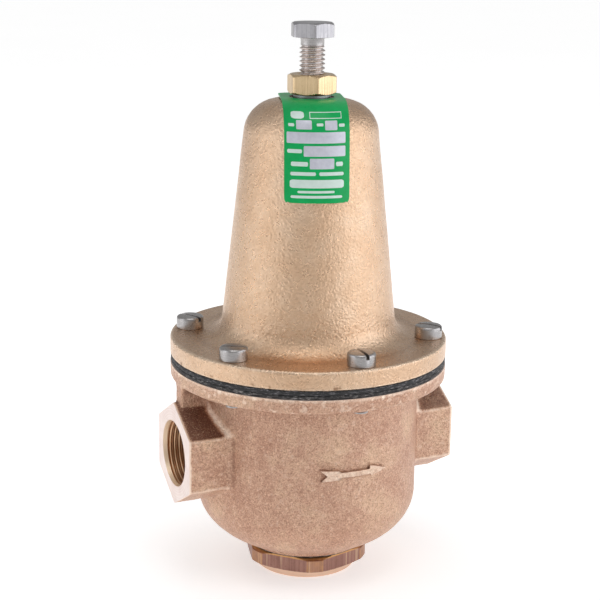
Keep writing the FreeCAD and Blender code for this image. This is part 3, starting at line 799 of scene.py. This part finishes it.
    rad, ax = np.hypot(p[:, 0], p[:, 1]), np.abs(p[:, 0])
    d_hex = np.maximum(ay, ay * 0.5 + np.abs(dz) * math.sqrt(3) / 2) - 17.5
    tone = np.full(len(p), 0.5)
    # painted shade under the flange: the upper faces of the hexagons and the ribs over them darkened, more on the left
    # side than the right
    port = np.clip((ax - 37.5) / 3.0, 0, 1)
    under_flange_shade = np.clip((n[:, 2] - 0.35) / 0.3, 0, 1) * np.clip((dz + 2) / 4, 0, 1) * (np.abs(d_hex) < 2.0)
    left = np.where(p[:, 0] < 0, 1.0, 0.62)
    d_b = rad - 42.6
    tone -= 0.44 * under_flange_shade * np.clip((d_b - 1.5) / 0.9, 0, 1) * np.clip((54.5 - ax) / 0.7, 0, 1) * left
    # painted highlight: a pale band along the fillet where the bowl meets the hexagons
    painted_fillet_highlight = np.exp(-((d_b - 0.9) / 0.85) ** 2) * (np.abs(d_hex) < 2.2) * np.clip((dz - 9.5) / 1.5, 0, 1) * np.clip((ay - 3.0) / 3.0, 0, 1)
    tone += 0.42 * painted_fillet_highlight
    # painted shade in the crease between the bowl and the sides of the hexagons
    crease_shade = np.exp(-((ax - 38.3) / 0.7) ** 2) * (np.abs(ay - 17.3) < 2.4) * np.clip((10.5 - np.abs(dz)) / 1.5, 0, 1)
    tone -= 0.17 * crease_shade
    # painted shade on the ribs under the flange, more on the left side
    rib_shade = (ay < 4.6) & (p[:, 2] > 68.5) & (p[:, 2] < 79) & (rad > 43.2) & (ax < 52.2)
    tone -= 0.13 * rib_shade * left
    shade_band = np.clip(1 - np.abs(p[:, 2] - 76.8) / 2.6, 0, 1) * (rad < 51.5) * (rad > 41)
    tone -= 0.13 * shade_band
    # brighter along the hexagon ridges and the port rims; painted highlight along the flange's top edge
    ridge = np.exp(-((np.abs(dz) - 10.1) / 0.75) ** 2) * (np.abs(ay - 17.5) < 1.0) * port
    tone += 0.30 * ridge * (n[:, 2] < 0.75)
    rim = np.clip((ax - 54.15) / 0.5, 0, 1) * (np.abs(d_hex) < 1.2)
    tone += 0.45 * rim
    lip_highlight = np.clip(1 - np.abs(rad - 52.6) / 0.7, 0, 1) * np.clip(1.1 - np.abs(p[:, 2] - 83.0) / 0.9, 0, 1)
    tone += 0.46 * lip_highlight
    # painted shade round the foot of the raised arrow
    s_w = np.arctan2(p[:, 0], -p[:, 1]) * 42.6
    near = (rad > 41.5) & (rad < 43.5) & (np.abs(s_w) < 17) & (np.abs(p[:, 2] - 51.1) < 5) & (p[:, 1] < 0)
    d_a = outline_distance(s_w[near], p[near, 2], ARROW)
    tone[near] -= 0.26 * np.exp(-(d_a / 0.55) ** 2)
    # lighter along the flange's lower edge, and in patches on the flange rim
    low = np.clip(1 - np.abs(rad - 52.4) / 0.7, 0, 1) * np.clip(1 - np.abs(p[:, 2] - 78.5) / 0.8, 0, 1)
    tone += 0.16 * low
    wear_and_highlight = value_noise(p / 1.5 + 9.0, 41) + 0.6 * value_noise(p / 0.8 + 2.0, 42)
    tone += 0.22 * np.clip((wear_and_highlight - 0.35) / 0.35, 0, 1) * (rad > 51.8) * (p[:, 2] > 78.2)
    at = me.attributes.new("tone", "FLOAT", "POINT")
    at.data.foreach_set("value", np.clip(tone, 0, 1).astype(np.float32))
    return ob


def recalc_inward(ob, s):
    """Threads inside a port face its axis."""
    me = ob.data
    c, n = face_centres(me)
    d = n[:, 1] * c[:, 1] + n[:, 2] * (c[:, 2] - PORT_Z)
    if d.mean() > 0:
        me.flip_normals()


body = make_body()
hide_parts("valve_body")
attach(body, "housing")


# raised flow arrow, wrapped on the bowl
def wrap_prism(name, pts, r, lift, mat, nseg=24):
    """(s, z) outline in the unrolled wall, as a raised mark; s is measured along the wall from phi = 0."""
    tri = tessellate_polygon([[Vector((x, z, 0)) for x, z in pts]])
    bm = bmesh.new()
    vs = [bm.verts.new((x, 0, z)) for x, z in pts]
    for t in tri:
        bm.faces.new([vs[i] for i in t])
    bmesh.ops.recalc_face_normals(bm, faces=bm.faces)
    bmesh.ops.subdivide_edges(bm, edges=bm.edges[:], cuts=3, use_grid_fill=True)
    r0 = bmesh.ops.extrude_face_region(bm, geom=bm.faces[:])
    top = [v for v in r0["geom"] if isinstance(v, bmesh.types.BMVert)]
    for v in top:
        v.co.y = 1.0
    me = bpy.data.meshes.new(name)
    bm.to_mesh(me)
    bm.free()
    c = coords(me)
    rr = r - 0.6 + c[:, 1] * (lift + 0.6)
    a = c[:, 0] / r
    set_coords(me, np.stack([rr * np.sin(a), -rr * np.cos(a), c[:, 2]], 1) * MM)
    ob = bpy.data.objects.new(name, me)
    bpy.context.scene.collection.objects.link(ob)
    recalc(ob)
    b = ob.modifiers.new("b", "BEVEL")
    b.width, b.segments, b.limit_method, b.angle_limit = 0.2 * MM, 2, "ANGLE", math.radians(50)
    apply_all(ob)
    put(ob, mat)
    return shade(ob)


arrow = wrap_prism("flow_arrow", ARROW, 42.6, 1.0, "body")
cast_skin(arrow, None, 0.05, 0.04, 0.0, 5)
# painted light on the arrow: darker low on its sides, lighter on its raised top face
_t = arrow.data.attributes.new("tone", "FLOAT", "POINT")
_c = coords(arrow.data) / MM
_t.data.foreach_set("value", np.clip(0.20 + 0.52 * (np.hypot(_c[:, 0], _c[:, 1]) - 42.6) / 0.85, 0.15, 0.74).astype(np.float32))
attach(arrow, "housing")


# =====================================================================================
# spring cage
# =====================================================================================
def bell(off=0.0, z_low=110.0, step=4):
    rs, top = 13.0, 183.1
    zc = top - rs
    rc = cone_r(zc + rs * math.sin(BETA)) - rs * math.cos(BETA)
    R = rs + off
    b = math.degrees(BETA)
    path = [(rc, zc + R)] + arc(rc, zc, R, 90, b, 28)[1:]
    path.append((cone_r(z_low) + off / math.cos(BETA), z_low))
    return path, zc + R


def make_cage():
    path, top = bell(0.0, 104.0)
    foot_zc = 93.7 + 8.0
    foot_rc = cone_r(foot_zc) + 8.0 / math.cos(BETA)
    foot = arc(foot_rc, foot_zc, 8.0, 180 + math.degrees(BETA), 270, 22)
    outer = [(4.82, top - 0.3), (5.1, top)] + path[:-1] + foot + [(FLANGE_R - 1.1, 93.7)]
    outer += arc(FLANGE_R - 1.1, 92.6, 1.1, 90, 0, 7)[1:] + [(FLANGE_R, 87.1), (FLANGE_R - 0.3, 86.8)]
    inner = [(36.5, 86.8), (36.5, 89.5), (cone_r(103) - 4.2, 103), (cone_r(168) - 4.2, 168), (cone_r(168) - 8.2, 175.5),
             (9.5, 175.5), (9.5, 171.0), (4.82, 171.0)]
    step = 0.55
    seg = 480
    prof = dense(outer, step) + dense(inner, 3.0)
    ob = lathe("spring_cage_bell", prof, seg, closed=True)

    def mask(p, n):
        r = np.hypot(p[:, 0], p[:, 1])
        out = ((n[:, 0] * p[:, 0] + n[:, 1] * p[:, 1]) > -0.2 * r) & (p[:, 2] > 87.2) & (r > 6.5)
        roof = np.clip((r - 6.5) / 3.0, 0, 1)
        flat = np.where((r > 41.5) & (p[:, 2] > 93.0), 0.55, 1.0)
        return out * roof * flat
    cast_skin(ob, mask, 0.03, 0.02, 0.06, 23)
    put(ob, "cage", "port_face")
    fc, fn = face_centres(ob.data)
    idx = np.zeros(len(fc), int)
    idx[fc[:, 2] < 86.95] = 1
    ob.data.polygons.foreach_set("material_index", idx)
    p = coords(ob.data) / MM
    r, z = np.hypot(p[:, 0], p[:, 1]), p[:, 2]
    tone = np.full(len(p), 0.5)
    # painted highlights along the flange's upper and lower outer edges
    tone += 0.34 * np.exp(-((r - 52.3) / 0.55) ** 2 - ((z - 93.2) / 0.55) ** 2)
    tone += 0.20 * np.exp(-((r - 52.9) / 0.4) ** 2 - ((z - 87.1) / 0.35) ** 2)
    spots = value_noise(p / 1.6 + 5.0, 77)
    tone -= 0.40 * np.clip((spots - 0.62) / 0.15, 0, 1) * np.exp(-((z - 87.3) / 0.9) ** 2) * (r > 51)
    # painted shade at the foot of the bell, on the flange top
    tone -= 0.10 * np.exp(-((r - 42.5) / 2.2) ** 2) * (z > 93) * (z < 96)
    at = ob.data.attributes.new("tone", "FLOAT", "POINT")
    at.data.foreach_set("value", np.clip(tone, 0, 1).astype(np.float32))
    return shade(ob, True, 40)


cage = make_cage()
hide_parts("spring_cage")
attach(cage, "housing")


# =====================================================================================
# diaphragm and gasket rims
# =====================================================================================
def ragged(ob, r_from, amp, seed):
    me = ob.data
    c = coords(me)
    p = c / MM
    r = np.hypot(p[:, 0], p[:, 1])
    a = np.arctan2(p[:, 1], p[:, 0])
    q = np.stack([a * 38.0, a * 0 + seed, p[:, 2] * 1.4], 1)
    d = amp * (0.6 * value_noise(q, seed) + 0.5 * value_noise(q * 2.7, seed + 5))
    w = np.clip((r - r_from) / 0.4, 0, 1)
    k = (r + d * w) / np.maximum(r, 1e-9)
    c[:, 0] *= k
    c[:, 1] *= k
    set_coords(me, c)


gasket = lathe("diaphragm_gasket_ring", [(36.5, 83.35), (44, 83.35), (52.3, 83.35), (52.55, 83.5), (52.62, 84.0), (52.58, 84.5),
                                         (52.4, 84.8), (44, 84.84), (36.5, 84.84)], 900, closed=True)
ragged(gasket, 51.0, 0.16, 3)
put(gasket, "gasket")
shade(gasket, True, 60)
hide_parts("diaphragm_gasket")
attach(gasket, "housing")

DIA = [(4.05, 84.86), (27.0, 84.86)] + [(27.0 + 9.0 * k / 18, 84.86 - 1.7 * math.sin(math.pi * k / 18) ** 2) for k in range(1, 19)]
DIA += [(44, 84.86), (52.5, 84.88), (52.78, 85.2), (52.84, 85.8), (52.8, 86.4), (52.55, 86.76), (44, 86.79)]
DIA += [(27.0 + 9.0 * k / 18, 86.79 - 1.7 * math.sin(math.pi * k / 18) ** 2) for k in range(18, -1, -1)] + [(4.05, 86.79)]
diaphragm = lathe("diaphragm_sheet", DIA, 900, closed=True)
ragged(diaphragm, 51.0, 0.15, 8)
put(diaphragm, "rubber")
shade(diaphragm, True, 60)
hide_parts("diaphragm")
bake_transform(diaphragm)
_c = coords(diaphragm.data) / MM
_t = np.clip((np.hypot(_c[:, 0], _c[:, 1]) - 27.3) / (36.2 - 27.3), 0, 1)


# =====================================================================================
# flange screws
# =====================================================================================
SLOT_PHI = {0: 0.0, 300: 62.0, 240: 27.0, 60: 39.0, 120: 75.0, 180: 10.0}


def make_screw(phi):
    z0, h, r = 93.7, 4.7, 5.2
    prof = [(0, 74.9 + 0.95), (2.3, 75.85), (2.75, 76.3), (2.75, 93.7), (r - 0.15, 93.7), (r, 93.85), (r, z0 + h - 1.0)]
    prof += arc(r - 1.0, z0 + h - 1.0, 1.0, 0, 90, 6)[1:] + [(2.6, z0 + h + 0.13), (0, z0 + h + 0.2)]
    head = lathe("head", prof, 96, smooth=False)
    slot = box((-0.65, -8, z0 + h - 1.75), (0.65, 8, z0 + h + 3))
    slot.data.transform(Matrix.Rotation(math.radians(SLOT_PHI[phi]), 4, "Z"))
    boolean(head, slot)
    b = head.modifiers.new("b", "BEVEL")
    b.width, b.segments, b.limit_method, b.angle_limit = 0.12 * MM, 2, "ANGLE", math.radians(60)
    apply_all(head)
    put(head, "stainless")
    shade(head, True, 35)
    t = thread("t", 3.17, 2.55, 2.8, 1.27, 75.9, 90.0, 40)
    put(t, "stainless")
    ob = join("s", [head, t])
    x, y = polar(BOLT_R, phi)
    ob.data.transform(Matrix.Translation((x * MM, y * MM, 0)))
    return ob


for i, phi in enumerate((0, 60, 120, 180, 240, 300)):
    s = make_screw(phi)
    s.name = "flange_screw_%d" % (i + 1)
    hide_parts("flange_screws")
    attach(s, "housing")


# =====================================================================================
# bottom plug
# =====================================================================================
def make_plug():
    t30 = math.tan(math.radians(30))
    rows = [(3.5, 21.9)] + [(3.5 + (r - 21.9) * t30 * 0.5, r) for r in (22.4, 22.9, 23.4, 23.9, 24.46)]
    rows += [(6.0, 24.46), (8.2, 24.46)] + [(10.0 - (r - 22.5) * t30, r) for r in (24.46, 24.1, 23.7, 23.3, 22.9, 22.5)]
    hexp = hex_lathe("hex", 45.0, -15.05, rows, seg=720, corner=0.0)
    put(hexp, "plug")
    shade(hexp, True, 14)
    boss = lathe("boss", [(0, 0.0), (19.3, 0.0), (19.75, 0.2), (20.0, 0.65), (20.0, 3.7), (0, 3.7)], 256)
    put(boss, "plug_boss")
    shade(boss, True, 30)
    shank = lathe("shank", [(0, 9.9), (19.6, 9.9), (19.6, 20.0), (19.0, 20.6), (15.5, 20.6), (15.5, 12.0), (9, 12.0), (9, 25.2),
                            (8.2, 26.0), (4.05, 26.0), (4.05, 9.3)], 160)
    put(shank, "plug")
    shade(shank, True, 30)
    th = thread("th", 19.95, 19.0, 19.5, 1.5, 10.7, 20.2, 128)
    put(th, "plug")
    ob = join("bottom_plug_hex", [hexp, boss, shank, th])
    c = coords(ob.data) / MM
    r = np.hypot(c[:, 0], c[:, 1])
    corner = np.exp(-((r - 24.40) / 0.06) ** 2) * (r < 24.6)
    top = np.clip((c[:, 2] - 9.0) / 0.2, 0, 1) * (c[:, 2] < 10.1) * (r > 20)
    t = ob.data.attributes.new("tone", "FLOAT", "POINT")
    t.data.foreach_set("value", np.clip(0.5 + 0.34 * corner + 0.36 * top, 0, 1).astype(np.float32))
    return ob


plug = make_plug()
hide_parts("bottom_plug")
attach(plug, "housing")
pg = lathe("plug_gasket_ring", [(20.02, 10.0), (23.2, 10.0), (23.35, 10.15), (23.35, 10.45), (23.2, 10.6), (20.02, 10.6)], 256, closed=True)
put(pg, "gasket")
shade(pg, True, 50)
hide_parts("plug_gasket")
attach(pg, "housing")


# =====================================================================================
# adjusting screw, lock nut, lock washer
# =====================================================================================
def make_adjusting_screw():
    t30 = math.tan(math.radians(30))
    af, phi = 14.95, -16.9
    rows = [(205.63, 6.6), (205.75, 7.3), (205.9, 8.5), (206.3, 20), (209.9, 20)]
    rows += [(211.2 - (r - 7.0) * t30, r) for r in (8.6, 8.3, 8.0, 7.7, 7.4, 7.0)]
    rows += [(211.2, 6.6)]
    head = hex_lathe("head", af, phi, rows, seg=360, corner=0.18)
    put(head, "head_steel")
    shade(head, True, 28)
    core = lathe("core", [(0, 152.0), (3.4, 152.0), (3.9, 152.6), (3.9, 202.6), (4.35, 202.9), (4.35, 204.9), (4.7, 205.63), (0, 205.7)], 96)
    put(core, "stainless")
    shade(core, True, 40)
    t = thread("t", 4.76, 3.88, 4.1, 1.5875, 152.4, 203.0, 72)
    put(t, "thread_steel")
    return join("adjusting_screw_hex", [head, core, t])


adj = make_adjusting_screw()
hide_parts("adjusting_screw")
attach(adj, "adjusting_screw")


def make_lock_nut():
    t30 = math.tan(math.radians(30))
    af, phi = 16.6, -9.9
    rows = [(185.2 + (r - 8.1) * t30, r) for r in (8.1, 8.4, 8.7, 9.0, 9.4)]
    rows += [(186.4, 20), (191.2, 20)]
    rows += [(192.4 - (r - 8.0) * t30, r) for r in (9.5, 9.2, 8.9, 8.6, 8.3, 8.0)]
    inner = [(5.5, 192.4), (4.85, 191.8), (4.85, 185.8), (5.4, 185.2)]
    ob = hex_lathe("lock_nut_hex", af, phi, rows, inner, seg=360, corner=0.15)
    put(ob, "brass")
    shade(ob, True, 28)
    return ob


nut = make_lock_nut()
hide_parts("lock_nut")
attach(nut, "lock_nut")

wash = lathe("lock_washer_ring", [(5.0, 183.3), (5.2, 183.1), (6.7, 183.1)] + arc(6.6, 183.5, 0.4, 270, 360, 4)
             + arc(6.6, 184.8, 0.4, 0, 90, 4) + [(5.2, 185.2), (5.0, 185.0)], 160, closed=True)
put(wash, "washer")
shade(wash, True, 40)
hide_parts("lock_washer")
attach(wash, "lock_washer")


# =====================================================================================
# tag: one bent sheet, with blank boxes and plain bars
# =====================================================================================
def tag_outline(off):
    """(r, z) outline of a sheet held off the bell by off, from the flat top to the lower edge, with arc lengths."""
    path, ztop = bell(off, 149.2)
    pts = dense(path, 0.6)
    s = [0.0]
    for p, q in zip(pts[:-1], pts[1:]):
        s.append(s[-1] + math.hypot(q[0] - p[0], q[1] - p[1]))
    return np.array(pts), np.array(s), ztop


TAG_W, TAG_BACK = 11.75, 13.0
RC_TAG = bell(0.0)[0][0][0]


def tag_point(lat, s, off):
    """Point on the tag at sideways distance lat; s < 0 on the flat top (towards the back), s >= 0 down the front."""
    pts, ss, ztop = tag_outline_cache(off)
    if s < 0:
        f_end = math.sqrt(max(RC_TAG ** 2 - lat ** 2, 0.0))
        k = min(1.0, -s / (TAG_BACK + RC_TAG))
        f = f_end + (-TAG_BACK - f_end) * k
        z = ztop
    else:
        r = np.interp(s, ss, pts[:, 0])
        z = float(np.interp(s, ss, pts[:, 1]))
        f = math.sqrt(max(r * r - lat * lat, 0.0))
    a = math.radians(TAG_PHI)
    x = lat * math.cos(a) + f * math.sin(a)
    y = lat * math.sin(a) - f * math.cos(a)
    return (x, y, z)


_cache = {}


def tag_outline_cache(off):
    if off not in _cache:
        _cache[off] = tag_outline(off)
    return _cache[off]


def tag_s_of_z(z, off=0.95):
    pts, ss, _ = tag_outline_cache(off)
    return float(np.interp(-z, -pts[:, 1], ss))


def sheet_object(name, us, lats, off0, off1):
    """Closed thin solid over a grid: us are positions along the strip, lats gives each row's sideways positions."""
    V, F = [], []
    rows, cols = len(us), len(lats[0])
    for off in (off1, off0):
        for u, row in zip(us, lats):
            for lat in row:
                V.append(tag_point(lat, u, off))
    N = rows * cols
    for i in range(rows - 1):
        for j in range(cols - 1):
            q = (i * cols + j, i * cols + j + 1, (i + 1) * cols + j + 1, (i + 1) * cols + j)
            F.append(q)
            F.append(tuple(N + k for k in q[::-1]))
    ring = [j for j in range(cols)] + [i * cols + cols - 1 for i in range(1, rows)] \
        + [(rows - 1) * cols + j for j in range(cols - 2, -1, -1)] + [i * cols for i in range(rows - 2, 0, -1)]
    for a, b in zip(ring, ring[1:] + ring[:1]):
        F.append((b, a, N + a, N + b))
    ob = new_object(name, V, F)
    recalc(ob)
    return ob


def make_tag():
    total = tag_outline_cache(0.95)[1][-1]
    flat = TAG_BACK + RC_TAG
    us = [-flat + flat * k / 44 for k in range(44)] + [-1e-6] + [total * k / 110 for k in range(1, 111)]
    lats = []
    for u in us:
        w = TAG_W
        d_low = total - u
        if d_low < 2.4:
            w = TAG_W - 2.4 + math.sqrt(max(2.4 ** 2 - (2.4 - d_low) ** 2, 0))
        d_back = u + flat
        if d_back < 4.5:
            w = min(w, TAG_W - 4.5 + math.sqrt(max(4.5 ** 2 - (4.5 - d_back) ** 2, 0)))
        lats.append([w * (2 * j / 48 - 1) for j in range(49)])
    ob = sheet_object("name_tag_sheet", us, lats, 0.45, 0.95)
    boolean(ob, cylinder(8.3, (0, 0, 182), (0, 0, 1), 5, 96))
    put(ob, "tag", "tag_back")
    fc, fn = face_centres(ob.data)
    r = np.hypot(fc[:, 0], fc[:, 1])
    out = (fn[:, 0] * fc[:, 0] + fn[:, 1] * fc[:, 1]) / np.maximum(r, 1e-6) * 0.9 + fn[:, 2] * 0.6
    idx = np.where(out > 0.2, 0, 1)
    ob.data.polygons.foreach_set("material_index", idx)
    return shade(ob, True, 40)


tag = make_tag()
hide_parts("name_tag")
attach(tag, "name_tag")


def patch(name, x0, x1, z1, z0, mat, corner=0.0, lift=0.035):
    s0, s1 = tag_s_of_z(z1), tag_s_of_z(z0)
    n = max(3, int((s1 - s0) / 0.35))
    us = [s0 + (s1 - s0) * k / n for k in range(n + 1)]
    nl = max(3, int((x1 - x0) / 0.6))
    lats = []
    for u in us:
        d = min(u - s0, s1 - u)
        ins = 0.0
        if corner and d < corner:
            ins = corner - math.sqrt(max(corner ** 2 - (corner - d) ** 2, 0))
        lats.append([x0 + ins + (x1 - x0 - 2 * ins) * j / nl for j in range(nl + 1)])
    ob = sheet_object(name, us, lats, 0.93, 0.95 + lift)
    put(ob, mat)
    return shade(ob, True, 40)


def frame_lines(x0, x1, z1, z0, w):
    return [patch("l", x0, x1, z1, z1 - w, "tag_line"), patch("l", x0, x1, z0 + w, z0, "tag_line"),
            patch("l", x0, x0 + w, z1 - w, z0 + w, "tag_line"), patch("l", x1 - w, x1, z1 - w, z0 + w, "tag_line")]


boxes = [patch("b", -7.55, -2.05, 178.2, 175.2, "tag_box", 0.2),
         patch("b", 2.7, 7.15, 178.1, 174.95, "tag_box", 0.2),
         patch("b", -10.9, 10.1, 174.2, 170.35, "tag_box", 0.2),
         patch("b", -4.95, 10.1, 169.4, 165.75, "tag_box", 0.2),
         patch("b", -2.78, 6.02, 165.0, 161.35, "tag_box", 0.2)]
bx = join("tag_blank_boxes", boxes)
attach(bx, "name_tag")
lines = frame_lines(-2.7, 8.85, 180.9, 178.75, 0.22)
lines += [patch("l", -9.3, -4.7, 181.0, 178.7, "tag_line", 1.1),
          patch("l", -10.3, -8.2, 177.1, 176.1, "tag_line", 0.2), patch("l", -0.3, 2.1, 177.2, 176.3, "tag_line", 0.2),
          patch("l", 7.75, 9.9, 177.0, 176.0, "tag_line", 0.2), patch("l", -10.7, -5.5, 168.2, 166.9, "tag_line", 0.3),
          patch("l", -9.4, -3.4, 163.8, 162.3, "tag_line", 0.3), patch("l", 6.65, 9.2, 163.8, 162.3, "tag_line", 0.3),
          patch("l", -9.6, -0.6, 160.2, 159.0, "tag_line", 0.3), patch("l", 0.6, 9.5, 160.2, 159.0, "tag_line", 0.3),
          patch("l", -9.8, 9.6, 157.5, 154.6, "tag_line", 0.8),
          patch("l", -7.1, 6.2, 153.6, 152.8, "tag_line", 0.3),
          patch("l", -9.5, 9.0, 151.9, 151.0, "tag_line", 0.3)]
ln = join("tag_plain_bars", lines)
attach(ln, "name_tag")


# =====================================================================================
# range spring: closed and ground ends; it stretches between the plate and the button
# =====================================================================================
def make_spring(name, t_from, t_to):
    wire, R = 2.4, 18.0
    z_lo, z_hi = 89.3, 149.0
    total = 9.6
    N = int((t_to - t_from) * 48)
    ts = np.linspace(t_from, t_to, N + 1)

    def zc(t):
        dead = 1.0
        solid = wire * 2 * 0.98
        if t < dead:
            return z_lo + wire * 0.55 + solid * t * t * 0.5 / dead
        if t > total - dead:
            u = total - t
            return z_hi - wire * 0.55 - solid * u * u * 0.5 / dead
        a = z_lo + wire * 0.55 + solid * 0.5
        b = z_hi - wire * 0.55 - solid * 0.5
        k = (t - dead) / (total - 2 * dead)
        k = k + 0.045 * math.sin(TAU * k) * -1 * 0.5
        return a + (b - a) * k
    V, F = [], []
    M = 24
    P = np.array([(R * math.cos(TAU * t), R * math.sin(TAU * t), zc(t)) for t in ts])
    for i, t in enumerate(ts):
        a = P[max(i - 1, 0)]
        b = P[min(i + 1, N)]
        tan = (b - a) / np.linalg.norm(b - a)
        n = np.array([math.cos(TAU * t), math.sin(TAU * t), 0.0])
        bn = np.cross(tan, n)
        bn /= np.linalg.norm(bn)
        for k in range(M):
            q = P[i] + wire * (math.cos(TAU * k / M) * n + math.sin(TAU * k / M) * bn)
            q[2] = min(max(q[2], z_lo + 0.02), z_hi - 0.02)
            V.append(q)
    for i in range(N):
        for k in range(M):
            F.append((i * M + k, i * M + (k + 1) % M, (i + 1) * M + (k + 1) % M, (i + 1) * M + k))
    F.append(tuple(range(M)))
    F.append(tuple(N * M + k for k in range(M))[::-1])
    ob = new_object(name, V, F)
    recalc(ob)
    put(ob, "spring")
    shade(ob, True, 40)
    return ob


low = make_spring("range_spring_foot", 0.0, 2.6)
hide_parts("range_spring")
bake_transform(low)
high = make_spring("range_spring_coils", 2.6, 9.6)
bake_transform(high)

# =====================================================================================
# CAD pieces that keep their shape: materials
# =====================================================================================
for node, mat in {"valve_seat": "stainless", "seat_gasket": "gasket", "stem": "stem_brass", "upper_plate": "plate",
                  "lower_plate": "plate", "plate_washer": "plate", "diaphragm_nut": "stem_brass",
                  "disc_holder": "stem_brass", "seat_disc": "rubber", "disc_washer": "stem_brass",
                  "disc_nut": "stem_brass", "spring_button": "plate"}.items():
    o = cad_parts[node]
    for i in range(max(1, len(o.material_slots))):
        if len(o.material_slots) == 0:
            o.data.materials.append(MAT[mat])
        else:
            o.material_slots[i].material = MAT[mat]

# =====================================================================================
# camera, light, floor
# =====================================================================================
az, pitch, yaw, roll = (math.radians(a) for a in (-24.558, 14.556, 0.355, 0.768))
L, zc = 533.655, 241.204 + 3.6
C = Vector((L * math.sin(az), -L * math.cos(az), zc)) * MM
h = Vector((-math.sin(az), math.cos(az), 0))
h = Matrix.Rotation(yaw, 3, "Z") @ h
F = h * math.cos(pitch) + Vector((0, 0, -math.sin(pitch)))
R0 = F.cross(Vector((0, 0, 1))).normalized()
U0 = R0.cross(F)
R = R0 * math.cos(roll) + U0 * math.sin(roll)
U = -R0 * math.sin(roll) + U0 * math.cos(roll)
cam_data = bpy.data.cameras.new("camera")
cam_data.sensor_width = 36.0
cam_data.lens = 36 * 1438.616 / 600
cam_data.clip_start = 0.01
cam = bpy.data.objects.new("camera", cam_data)
bpy.context.scene.collection.objects.link(cam)
cam.matrix_world = Matrix.Translation(C) @ Matrix((R, U, -F)).transposed().to_4x4()
bpy.context.scene.camera = cam


def area(name, loc, target, size, power, color=(1, 1, 1), size_y=None):
    d = bpy.data.lights.new(name, "AREA")
    d.energy, d.color = power, color
    d.shape, d.size = "RECTANGLE", size
    d.size_y = size_y or size
    o = bpy.data.objects.new(name, d)
    bpy.context.scene.collection.objects.link(o)
    o.location = loc
    o.rotation_euler = (Vector(target) - Vector(loc)).to_track_quat("-Z", "Y").to_euler()
    return o




def softbox(name, phi, dist, z, width, height, radiance, color=(1, 1, 1)):
    """A soft light at angle phi round the object (from -Y towards +X), facing it."""
    x, y = dist * math.sin(math.radians(phi)), -dist * math.cos(math.radians(phi))
    return area(name, (x, y, z), (0, 0, 0.10), width, math.pi * width * height * radiance, color, height)


softbox("softbox_right", 52, 0.95, 0.36, 1.45, 0.85, 1.30, (0.97, 0.99, 1.04))
softbox("softbox_left", -94, 0.95, 0.36, 0.66, 0.85, 1.00, (0.96, 0.99, 1.05))
softbox("softbox_top", -20, 0.34, 1.25, 0.7, 0.7, 1.9)

world = bpy.data.worlds.new("studio")
world.use_nodes = True
bg = world.node_tree.nodes["Background"]
bg.inputs[0].default_value = (1, 1, 1, 1)
bg.inputs[1].default_value = 0.43
bpy.context.scene.world = world
bpy.context.scene.view_settings.view_transform = "Standard"

floor = new_object("floor", [(-14000, -14000, 0), (14000, -14000, 0), (14000, 14000, 0), (-14000, 14000, 0)], [(0, 1, 2, 3)], False)
fm = Nodes("pale_floor")
fm.link(fm.ramp(fm.noise(3, 3, 0.5), [(0.3, (0.88, 0.88, 0.88)), (0.7, (0.90, 0.90, 0.90))]), fm.p.inputs["Base Color"])
fm.p.inputs["Roughness"].default_value = 0.7
fm.p.inputs["Specular IOR Level"].default_value = 0.2
fm.p.inputs["Emission Color"].default_value = (1, 1, 1, 1)
# painted light: the floor glows by emission, weaker at the front and stronger behind the object and far out
fo = fm.xyz()
fr = fm.math("SQRT", fm.math("ADD", fm.math("MULTIPLY", fo[0], fo[0]), fm.math("MULTIPLY", fo[1], fo[1])))
fm.link(fm.math("MAXIMUM", fm.mrange(fo[1], -0.30, 0.12, 0.10, 0.60), fm.mrange(fr, 0.75, 1.3, 0.0, 0.60)),
        fm.p.inputs["Emission Strength"])
floor.data.materials.append(fm.mat)
floor.location.z = -0.0002
